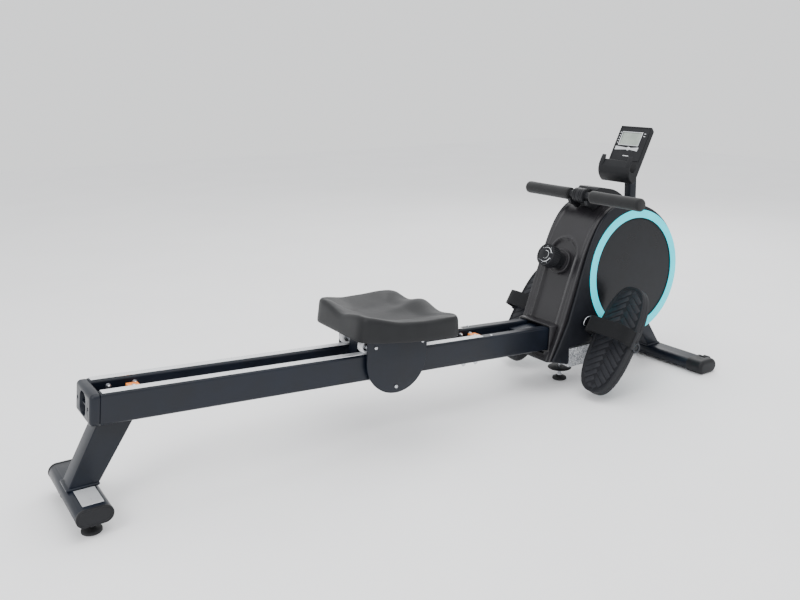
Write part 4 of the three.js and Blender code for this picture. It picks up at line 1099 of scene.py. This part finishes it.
def knob():
    """The resistance knob: a finned neck, a ribbed cap and a dark face with a printed scale."""
    place = standing(KNOB_SEAT, KNOB_AXIS, "X")
    neck_profile = [(0, -0.026), (0.006, -0.026), (0.006, 0.0005), (0.0262, 0.0005), (0.027, 0.0013)]
    for fin in range(5):
        base = 0.004 + fin * 0.0052
        neck_profile += [(0.027, base), (0.0250, base + 0.0006), (0.0250, base + 0.0020),
                         (0.027, base + 0.0026)]
    neck_profile += [(0.027, NECK_TOP), (0, NECK_TOP)]
    neck = smooth(turned("knob_neck", neck_profile, (0, 0, 0), Z, 64), 32)
    ribs, radius = 30, 0.0350
    rim = []
    for step in range(ribs * 6):
        turn = 2 * math.pi * step / (ribs * 6)
        wave = 0.5 + 0.5 * math.cos(turn * ribs)
        reach = radius - 0.0011 * (1 - wave ** 0.5)
        rim.append((reach * math.cos(turn), reach * math.sin(turn)))
    upright = Matrix.Rotation(math.pi / 2, 4, "X")
    cap = outline_plate("knob_cap", rim, KNOB_REACH - NECK_TOP)
    settle(cap, Matrix.Translation((0, 0, (KNOB_REACH + NECK_TOP) / 2)) @ upright)
    inset_faces(cap, lambda m, n: n.z > 0.9, (0.0035, 0), (0.0010, -0.0014))
    inset_faces(cap, lambda m, n: n.z < -0.9 and m.z < 0.04, (0.002, 0.0015))
    smooth(cap, 40)
    face = turned("knob_face", [(0, KNOB_REACH - 0.0030), (0.0296, KNOB_REACH - 0.0030),
                                (0.0296, KNOB_REACH - 0.0012), (0.0285, KNOB_REACH - 0.0006),
                                (0.0090, KNOB_REACH - 0.0004), (0.0082, KNOB_REACH - 0.0012),
                                (0, KNOB_REACH - 0.0012)], (0, 0, 0), Z, 64)
    smooth(face, 32)
    for piece, material in ((neck, black_plastic), (cap, black_plastic), (face, disc_plastic)):
        nodes = ("resistance_knob",) if piece is cap else ()
        hand_over(settle(piece, place), "knob", material, "black_plastic", *nodes)

    # the printed scale: three arcs that widen and ticks round the rim
    def mark(name, points):
        made = outline_plate(name, points, 0.0003)
        settle(made, Matrix.Translation((0, 0, KNOB_REACH - 0.0004)) @ upright)
        return hand_over(settle(made, place), "knob", ink, "black_plastic")

    def arc(name, radius, thin, thick, start, end):
        steps = 22
        turns = [math.radians(start + (end - start) * s / steps) for s in range(steps + 1)]
        widths = [thin + (thick - thin) * s / steps for s in range(steps + 1)]
        outer, inner = ([((radius + way * w / 2) * math.cos(t), (radius + way * w / 2) * math.sin(t))
                         for t, w in zip(turns, widths)] for way in (1, -1))
        mark(name, outer + inner[::-1])

    arc("scale_arc_left", 0.0225, 0.0005, 0.0024, 215, 110)
    arc("scale_arc_right", 0.0225, 0.0005, 0.0024, -35, 70)
    arc("scale_arc_inner", 0.0125, 0.0004, 0.0014, 200, -20)
    for number in range(8):
        turn = math.radians(-45 + number * 270 / 7)
        spoke, side = Vector((math.cos(turn), math.sin(turn))), Vector((-math.sin(turn), math.cos(turn)))
        corners = [spoke * 0.0262 + side * 0.0005, spoke * 0.0262 - side * 0.0005,
                   spoke * 0.0282 - side * 0.0005, spoke * 0.0282 + side * 0.0005]
        mark(f"scale_tick_{number}", [tuple(c) for c in corners])


# ------------------------------------------------------------------ pedals

PEDAL_TILT = math.radians(57)
PEDAL_PIVOT = Vector(joint("pedal_left_tilt")["pos_m"])
SOLE_LENGTH, SOLE_WIDTH, SOLE_TOP = 0.340, 0.144, 0.027
SOLE_POWER = 2.6                # how square the sole's outline is; 2 is an ellipse
STRAP_ALONG = 0.014             # the foot strap's middle, up the sole from the bar


def sole_outline(inset, steps=112):
    points = []
    for step in range(steps):
        turn = 2 * math.pi * step / steps
        along, across = math.cos(turn), math.sin(turn)
        points.append(((SOLE_LENGTH / 2 - inset) * math.copysign(abs(along) ** (2 / SOLE_POWER), along),
                       (SOLE_WIDTH / 2 - inset) * math.copysign(abs(across) ** (2 / SOLE_POWER), across)))
    return points


def sole_half_width(x, inset):
    share = min(1.0, abs(x) / (SOLE_LENGTH / 2 - inset))
    return (SOLE_WIDTH / 2 - inset) * (1 - share ** SOLE_POWER) ** (1 / SOLE_POWER)


def pedal_model():
    """A footplate: a moulded dish with a rim bead, a skirt, a hub for the bar and ribs underneath."""
    loops = [(0.0050, SOLE_TOP - 0.0050), (0.0050, -0.0022), (0.0045, -0.0030), (0.0008, -0.0030),
             (0.0, -0.0022), (0.0, 0.0085), (0.0008, 0.0093), (0.0008, 0.0107), (0.0, 0.0115),
             (0.0, SOLE_TOP - 0.0030), (0.0005, SOLE_TOP - 0.0013), (0.0016, SOLE_TOP - 0.0003),
             (0.0028, SOLE_TOP), (0.0060, SOLE_TOP), (0.0072, SOLE_TOP - 0.0004), (0.0080, SOLE_TOP - 0.0016),
             (0.0100, SOLE_TOP - 0.0022), (0.0160, SOLE_TOP - 0.0024)]
    plate = smooth(lofted("footplate", [[(x, y, height) for x, y in sole_outline(inset)]
                                        for inset, height in loops]), 35)

    hub = turned("hub", [(0.0123, -0.068), (0.017, -0.068), (0.017, 0.068), (0.0123, 0.068)], (0, 0, 0), Y, 40)
    parts = [smooth(hub, 32)]
    for x in (-0.115, -0.060, 0.060, 0.115):
        reach = sole_half_width(x, 0.0055)
        parts.append(block("rib", (x - 0.0012, -reach, 0.002), (x + 0.0012, reach, SOLE_TOP - 0.004)))
    for way in (-1, 1):
        rib = block("rib", (-0.150, way * 0.024 - 0.0012, 0.004),
                    (0.150, way * 0.024 + 0.0012, SOLE_TOP - 0.004))
        carve(rib, rod("bar_way", 0.0175, 0.2, (0, 0, 0), Y, 32))
        parts.append(rib)
    return join(plate, *parts)


def tread_model():
    """Chevron bars in two columns that meet on the middle line, cut short at the rim."""
    bars = []
    lean = math.radians(35)
    for row in range(-8, 9):
        x = row * 0.0215 + 0.0040
        for way in (-1, 1):
            inner, outer = 0.0035, 0.0
            for step in range(60):
                reach = 0.0035 + step * 0.001
                px = x - reach * math.tan(lean)
                if sole_half_width(px, 0.0125) > reach and abs(px) < SOLE_LENGTH / 2 - 0.013:
                    outer = reach
                elif outer:
                    break
            if outer < inner + 0.006 or abs(x) > SOLE_LENGTH / 2 - 0.014:
                continue
            length = (outer - inner) / math.cos(lean)
            bar = block("chevron", (-0.0070, 0, SOLE_TOP - 0.0032), (0.0070, length, SOLE_TOP - 0.0009))
            round_edges(bar, 0.0007, 2)
            turn = Matrix.Translation((x - inner * math.tan(lean), inner, 0)) @ Matrix.Rotation(lean, 4, "Z")
            settle(bar, turn)
            if way < 0:
                bar.data.transform(Matrix.Diagonal((1, -1, 1, 1)))
                bar.data.flip_normals()
            bars.append(bar)
    tread = join(*bars)
    tread.name = tread.data.name = "tread"
    return smooth(tread, 35)


def strap_path(grow=0.0):
    """The foot strap's way over the sole, as (across, up) points."""
    half, height = 0.074 + grow, 0.056 + grow
    points = [(half, -0.010), (half, 0.0), (half, 0.008)]
    points += bezier((half, 0.012), (half, height), (half * 0.72, height), (0, height), 26)
    points += [(0, height)]
    return points + [(-y, z) for y, z in reversed(points[:-1])]


def ribbon(name, path, width, thick, along):
    """A webbing ribbon along a path of (point, width direction) pairs, with its own map in metres."""
    deselect()
    columns = 8
    bpy.ops.mesh.primitive_grid_add(x_subdivisions=columns, y_subdivisions=len(path) - 1, size=1, calc_uvs=True)
    piece = named(name)
    lengths = [0.0]
    for a, b in zip(path, path[1:]):
        lengths.append(lengths[-1] + (b - a).length)
    row_of = []
    for vertex in piece.data.vertices:
        across, row = vertex.co.x, round((vertex.co.y + 0.5) * (len(path) - 1))
        row_of.append((across, row))
    layer = piece.data.uv_layers[0]
    layer.name = "weave"
    for loop in piece.data.loops:
        across, row = row_of[loop.vertex_index]
        layer.data[loop.index].uv = (across * width, lengths[row])
    for vertex, (across, row) in zip(piece.data.vertices, row_of):
        vertex.co = path[row] + along * (across * width)
    modify(piece, "SOLIDIFY", thickness=thick, offset=0)
    round_edges(piece, thick * 0.3, 2, 60)
    return smooth(piece, 50)


def foot_strap_model():
    path = [Vector((STRAP_ALONG, y, SOLE_TOP + z)) for y, z in strap_path(0.0015)]
    return ribbon("foot_webbing", path, 0.048, 0.003, X)


def ring_model():
    """A D-ring: a wire ring with one straight side."""
    deselect()
    radius = 0.022
    bpy.ops.mesh.primitive_torus_add(major_radius=radius, minor_radius=0.0018,
                                     major_segments=48, minor_segments=12)
    ring = named("d_ring")
    for vertex in ring.data.vertices:
        core = Vector((vertex.co.x, vertex.co.y, 0)).normalized() * radius
        shift = max(core.x, -0.011) - core.x
        vertex.co.x += shift
    return smooth(ring, 60)


def pedals():
    plate, tread, strap, ring = pedal_model(), tread_model(), foot_strap_model(), ring_model()
    keeper = block("strap_keeper", (STRAP_ALONG - 0.027, -0.0035, SOLE_TOP - 0.004),
                   (STRAP_ALONG + 0.027, 0.0035, SOLE_TOP + 0.009))
    round_edges(keeper, 0.0016, 3)
    smooth(keeper)
    for side, way in SIDES:
        pivot = Vector((PEDAL_PIVOT.x, middle(f"pedal_{side}").y, PEDAL_PIVOT.z))
        place = Matrix.Translation(pivot) @ Matrix.Rotation(-PEDAL_TILT, 4, "Y")
        body = f"pedal_{side}"
        for model, name, material, finish, *nodes in (
                (plate, "footplate", pedal_plastic, "pedal_plastic", body),
                (tread, "footplate_tread", tread_plastic, "pedal_plastic"),
                (strap, "foot_webbing", webbing, "webbing", f"foot_strap_{side}")):
            hand_over(copy_of(model, f"{name}_{side}", place), body, material, finish, *nodes)
        for number, edge in enumerate((-1, 1)):
            foot = copy_of(keeper, f"strap_keeper_{side}_{number}",
                           place @ Matrix.Translation((0, edge * 0.0755, -0.006)))
            hand_over(foot, body, pedal_plastic, "pedal_plastic")
        lay = (place @ Matrix.Translation((STRAP_ALONG, -way * 0.0785, SOLE_TOP + 0.030))
               @ Matrix.Rotation(math.pi / 2, 4, "X"))
        hand_over(copy_of(ring, f"d_ring_{side}", lay), body, zinc_plate, "webbing")
        bar_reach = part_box("pedal_bar")[1].y - 0.0037
        end = rod(f"bar_end_{side}", 0.0088, 0.004, (pivot.x, way * bar_reach, pivot.z), Y, 40)
        round_edges(end, 0.0008, 2)
        hand_over(smooth(end), "base", black_plastic, "satin_paint")
    for model in (plate, tread, strap, ring, keeper):
        bpy.data.objects.remove(model)


# ------------------------------------------------------------------ handle

HANDLE = on_middle_plane("grip_left")
PULL = Vector(joint("handle_pull")["axis"]).normalized()


def handle():
    """A straight bar with two foam grips, a ringed clamp in the middle and the pull strap."""
    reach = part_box("grip_left")[1].y
    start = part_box("grip_left")[0].y
    long = reach - start + 0.004
    grip = turned("grip_model", [(0, long), (0.0130, long), (0.0172, long - 0.0012), (0.0192, long - 0.0042),
                                 (0.0198, long - 0.010), (0.0194, long - 0.045), (0.0192, long * 0.5),
                                 (0.0194, 0.040), (0.0198, 0.010), (0.0196, 0.0025), (0.0186, 0.0006),
                                 (0.0170, 0), (0.0128, 0), (0.0128, long - 0.006), (0, long - 0.006)],
                  (0, 0, 0), Z, 48)
    smooth(grip, 40)
    for side, way in SIDES:
        sleeve = copy_of(grip, f"foam_grip_{side}", standing(HANDLE + Y * way * start, (0, way, 0), "X"))
        hand_over(sleeve, "handle", foam_grip, "grip_foam", f"grip_{side}")
    bpy.data.objects.remove(grip)
    tube = turned("handle_tube", [(0.0105, -0.2325), (0.0125, -0.2325), (0.0125, 0.2325), (0.0105, 0.2325)],
                  HANDLE, Y, 40)
    hand_over(smooth(tube, 32), "handle", black_plastic, "black_plastic", "handle_bar")
    profile = [(0.0126, -0.022), (0.0205, -0.022), (0.0222, -0.0212), (0.023, -0.0195)]
    for groove in (-0.0150, -0.0075, 0.0075, 0.0150):
        profile += [(0.023, groove - 0.0011), (0.0216, groove - 0.0006), (0.0216, groove + 0.0006),
                    (0.023, groove + 0.0011)]
    profile += [(0.023, 0.0195), (0.0222, 0.0212), (0.0205, 0.022), (0.0126, 0.022)]
    clamp = smooth(turned("handle_clamp", profile, HANDLE, Y, 56), 32)
    hand_over(clamp, "handle", black_plastic, "black_plastic")
    along = Matrix.Translation(HANDLE) @ Matrix.Rotation(math.radians(10), 4, "Y")
    lug = block("strap_lug", (0.018, -0.0160, -0.009), (0.0262, 0.0160, 0.009))
    round_edges(lug, 0.0024, 3)
    hand_over(settle(smooth(lug), along), "handle", black_plastic, "black_plastic")

    start, end = HANDLE - PULL * 0.0925, HANDLE - PULL * 0.0250
    path = [start.lerp(end, step / 60) for step in range(61)]
    strap = ribbon("pull_webbing", path, 0.026, 0.003, Y)
    coat(strap, webbing)
    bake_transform(strap)
    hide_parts("pull_strap")


def cradle():
    """The hood and arms that the handle lies in keep their shape, and gain screws."""
    soften("handle_cradle", black_plastic, 0.0016)
    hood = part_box("handle_cradle")
    for side, way in SIDES:
        for number, (x, z) in enumerate(((HANDLE.x + 0.045, 0.560), (HANDLE.x + 0.100, 0.566))):
            screw = pan_screw(f"hood_screw_{side}_{number}", 0.0042, 0.0022, (x, way * (hood[1].y - 0.0012), z),
                              (0, way, 0))
            hand_over(screw, "base", zinc_plate, "black_plastic")


# ------------------------------------------------------------------ console

CONSOLE_TILT = math.radians(28.4)
FACE_LENGTH, CONSOLE_THICK = 0.126, 0.015
BUTTON_ALONG = 0.045            # up the face from its lower edge
console_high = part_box("console_body")[1]
CONSOLE_HALF = console_high.y
face_bottom = Vector((console_high.x - 0.118 * math.sin(CONSOLE_TILT) - CONSOLE_THICK * math.cos(CONSOLE_TILT),
                      0, console_high.z - FACE_LENGTH * math.cos(CONSOLE_TILT)))
# level drawing of the console: x runs up the face, y across it and z out of it
on_console = Matrix.Translation(face_bottom) @ Matrix((
    (math.sin(CONSOLE_TILT), 0, -math.cos(CONSOLE_TILT), 0), (0, 1, 0, 0),
    (math.cos(CONSOLE_TILT), 0, math.sin(CONSOLE_TILT), 0), (0, 0, 0, 1)))


def console():
    """The monitor: a shell with a curved tray below, a display, a chromed trim and printed marks."""
    side = [(0, 0), (0.040, 0), (0.080, 0), (FACE_LENGTH, 0), (FACE_LENGTH - 0.008, -CONSOLE_THICK),
            (0.050, -CONSOLE_THICK), (-0.046, -CONSOLE_THICK)]

    def curve(a, b, c, steps=12):
        first = tuple(a[i] + (b[i] - a[i]) * 2 / 3 for i in (0, 1))
        second = tuple(c[i] + (b[i] - c[i]) * 2 / 3 for i in (0, 1))
        return bezier(a, first, second, c, steps)

    side = side[:-1] + curve((-0.046, -0.015), (-0.072, -0.015), (-0.070, -0.003))
    side += curve((-0.070, -0.003), (-0.062, 0.0288), (-0.030, 0.034))
    side += [(-0.030, 0.034), (-0.008, 0.032), (-0.008, 0.028), (-0.028, 0.028)]
    side += curve((-0.028, 0.028), (-0.046, 0.022), (-0.040, 0.006))[1:] + [(-0.040, 0.006)]
    shell = outline_plate("console_shell", side, 2 * CONSOLE_HALF)
    bevel_edges(shell, lambda m, run: abs(run.y) < 0.1 and m.x > FACE_LENGTH - 0.009, 0.003, 3)
    round_edges(shell, 0.0022, 3, 40)
    carve(shell, rod("button_hole", 0.0073, 0.020, (BUTTON_ALONG, 0, 0), Z, 48))
    carve(shell, block("display_pocket", (0.0580, -0.0350, -0.0018), (0.1030, 0.0460, 0.01)))
    smooth(shell, 40)
    modify(shell, "WEIGHTED_NORMAL", keep_sharp=True)
    hand_over(settle(shell, on_console), "base", black_plastic, "black_plastic", "console_body")

    def fitting(piece, material, finish="black_plastic"):
        return hand_over(settle(smooth(piece, 40), on_console), "base", material, finish)

    def framed(name, low, high, width, height, depth=0.0):
        border = block(name, (low[0], low[1], depth), (high[0], high[1], height))
        carve(border, block("inside", (low[0] + width, low[1] + width, -0.01),
                            (high[0] - width, high[1] - width, 0.02)))
        round_edges(border, min(width, height) * 0.28, 2)
        return border

    fitting(framed("face_line", (0.004, -0.061), (0.122, 0.061), 0.0016, 0.0012), black_plastic)
    fitting(framed("display_frame", (0.0560, -0.0370), (0.1050, 0.0480), 0.0026, 0.0018), chrome_trim)
    pane = block("display_pane", (0.0582, -0.0348, -0.0016), (0.1028, 0.0458, -0.0006))
    fitting(round_edges(pane, 0.0003, 1), glass)
    trim = outline_plate("button_trim", [
        (0.052, 0.055), (0.0485, 0.010), (0.0485, -0.010), (0.052, -0.040),
        (0.038, -0.040), (0.0415, -0.010), (0.0415, 0.010), (0.038, 0.055)], 0.0018)
    # drawn across the face: its outline's second number runs along Y
    settle(trim, Matrix(((1, 0, 0, 0), (0, 0, 1, 0), (0, -1, 0, 0.0005), (0, 0, 0, 1))))
    trim.data.flip_normals()
    tidy_mesh(trim)
    carve(trim, rod("button_room", 0.0074, 0.02, (BUTTON_ALONG, 0, 0), Z, 48))
    round_edges(trim, 0.0005, 2)
    fitting(trim, chrome_trim)
    marks = [(x, -0.0460, 0.007) for x in (0.101, 0.092)]
    marks += [(x, 0.0545, 0.005) for x in (0.101, 0.092, 0.083, 0.074, 0.065)] + [(0.020, 0.0, 0.024)]
    for number, (x, y, long) in enumerate(marks):
        tick = block(f"console_mark_{number}", (x - 0.0011, y - long / 2, -0.0001),
                     (x + 0.0011, y + long / 2, 0.0003))
        fitting(tick, ink)
    for name, way in SIDES:
        tip = outline_plate(f"tray_tip_{name}", [(-0.034, 0.0325), (-0.006, 0.0315), (0.006, 0.0345),
                                                 (-0.010, 0.0355), (-0.030, 0.0350)], 0.018,
                            way * (CONSOLE_HALF - 0.0095))
        round_edges(tip, 0.0009, 2)
        fitting(tip, black_plastic)

    button = turned("round_button", [(0, -0.005), (0.007, -0.005), (0.007, 0.0012), (0.0064, 0.0020),
                                     (0.0052, 0.0024), (0.0030, 0.0019), (0, 0.0017)],
                    (BUTTON_ALONG, 0, 0), Z, 48)
    hand_over(settle(smooth(button, 32), on_console), "button", chrome_trim, "button_plastic", "console_button")


# ------------------------------------------------------------------ camera, light and floor

def studio():
    """A studio: the camera, a pale floor, a bright surround and three soft lights."""
    camera = bpy.data.objects.new("camera", bpy.data.cameras.new("camera"))
    bpy.context.scene.collection.objects.link(camera)
    camera.data.lens = 38.71
    camera.data.sensor_width = 36
    camera.data.shift_x = -0.0286
    camera.data.shift_y = -0.1517
    camera.location = (-1.33779, -1.900508, 0.972036)
    camera.rotation_euler = (math.pi / 2 - 0.128, 0.001, -0.607)
    bpy.context.scene.camera = camera

    world = bpy.data.worlds.new("surround")
    bpy.context.scene.world = world
    world.use_nodes = True
    world.node_tree.nodes["Background"].inputs["Color"].default_value = linear("fafbfc")
    world.node_tree.nodes["Background"].inputs["Strength"].default_value = 1.3

    lights = (("overhead", (0.2, -0.3, 3.0), (0.1, 0, 0.3), 3.2, 70),
              ("window", (-2.6, -1.2, 2.2), (0.3, 0, 0.3), 1.2, 40),
              ("rim", (2.6, 1.8, 2.2), (0.5, 0, 0.4), 1.6, 30))
    for name, place, target, size, power in lights:
        lamp = bpy.data.objects.new(name, bpy.data.lights.new(name, "AREA"))
        bpy.context.scene.collection.objects.link(lamp)
        lamp.data.size = size
        lamp.data.energy = power
        lamp.location = place
        lamp.rotation_euler = (Vector(target) - Vector(place)).to_track_quat("-Z", "Y").to_euler()

    deselect()
    bpy.ops.mesh.primitive_plane_add(size=14, location=(0, 0, 0))
    floor = named("studio_floor")
    material, tree, shader = blank("matt_white_floor", "fafafb", 0.7)
    mottle(tree, shader, "f9f9fa", "fcfcfd", place_in(tree), 2)
    floor.data.materials.append(material)


studio()
steelwork()
end_cap()
rail_hardware()
stops()
leg_fittings()
tube_ends()
transport_wheels()
levelling_feet()
seat_carriage()
rollers()
fairing()
side_covers()
knob()
pedals()
handle()
cradle()
console()
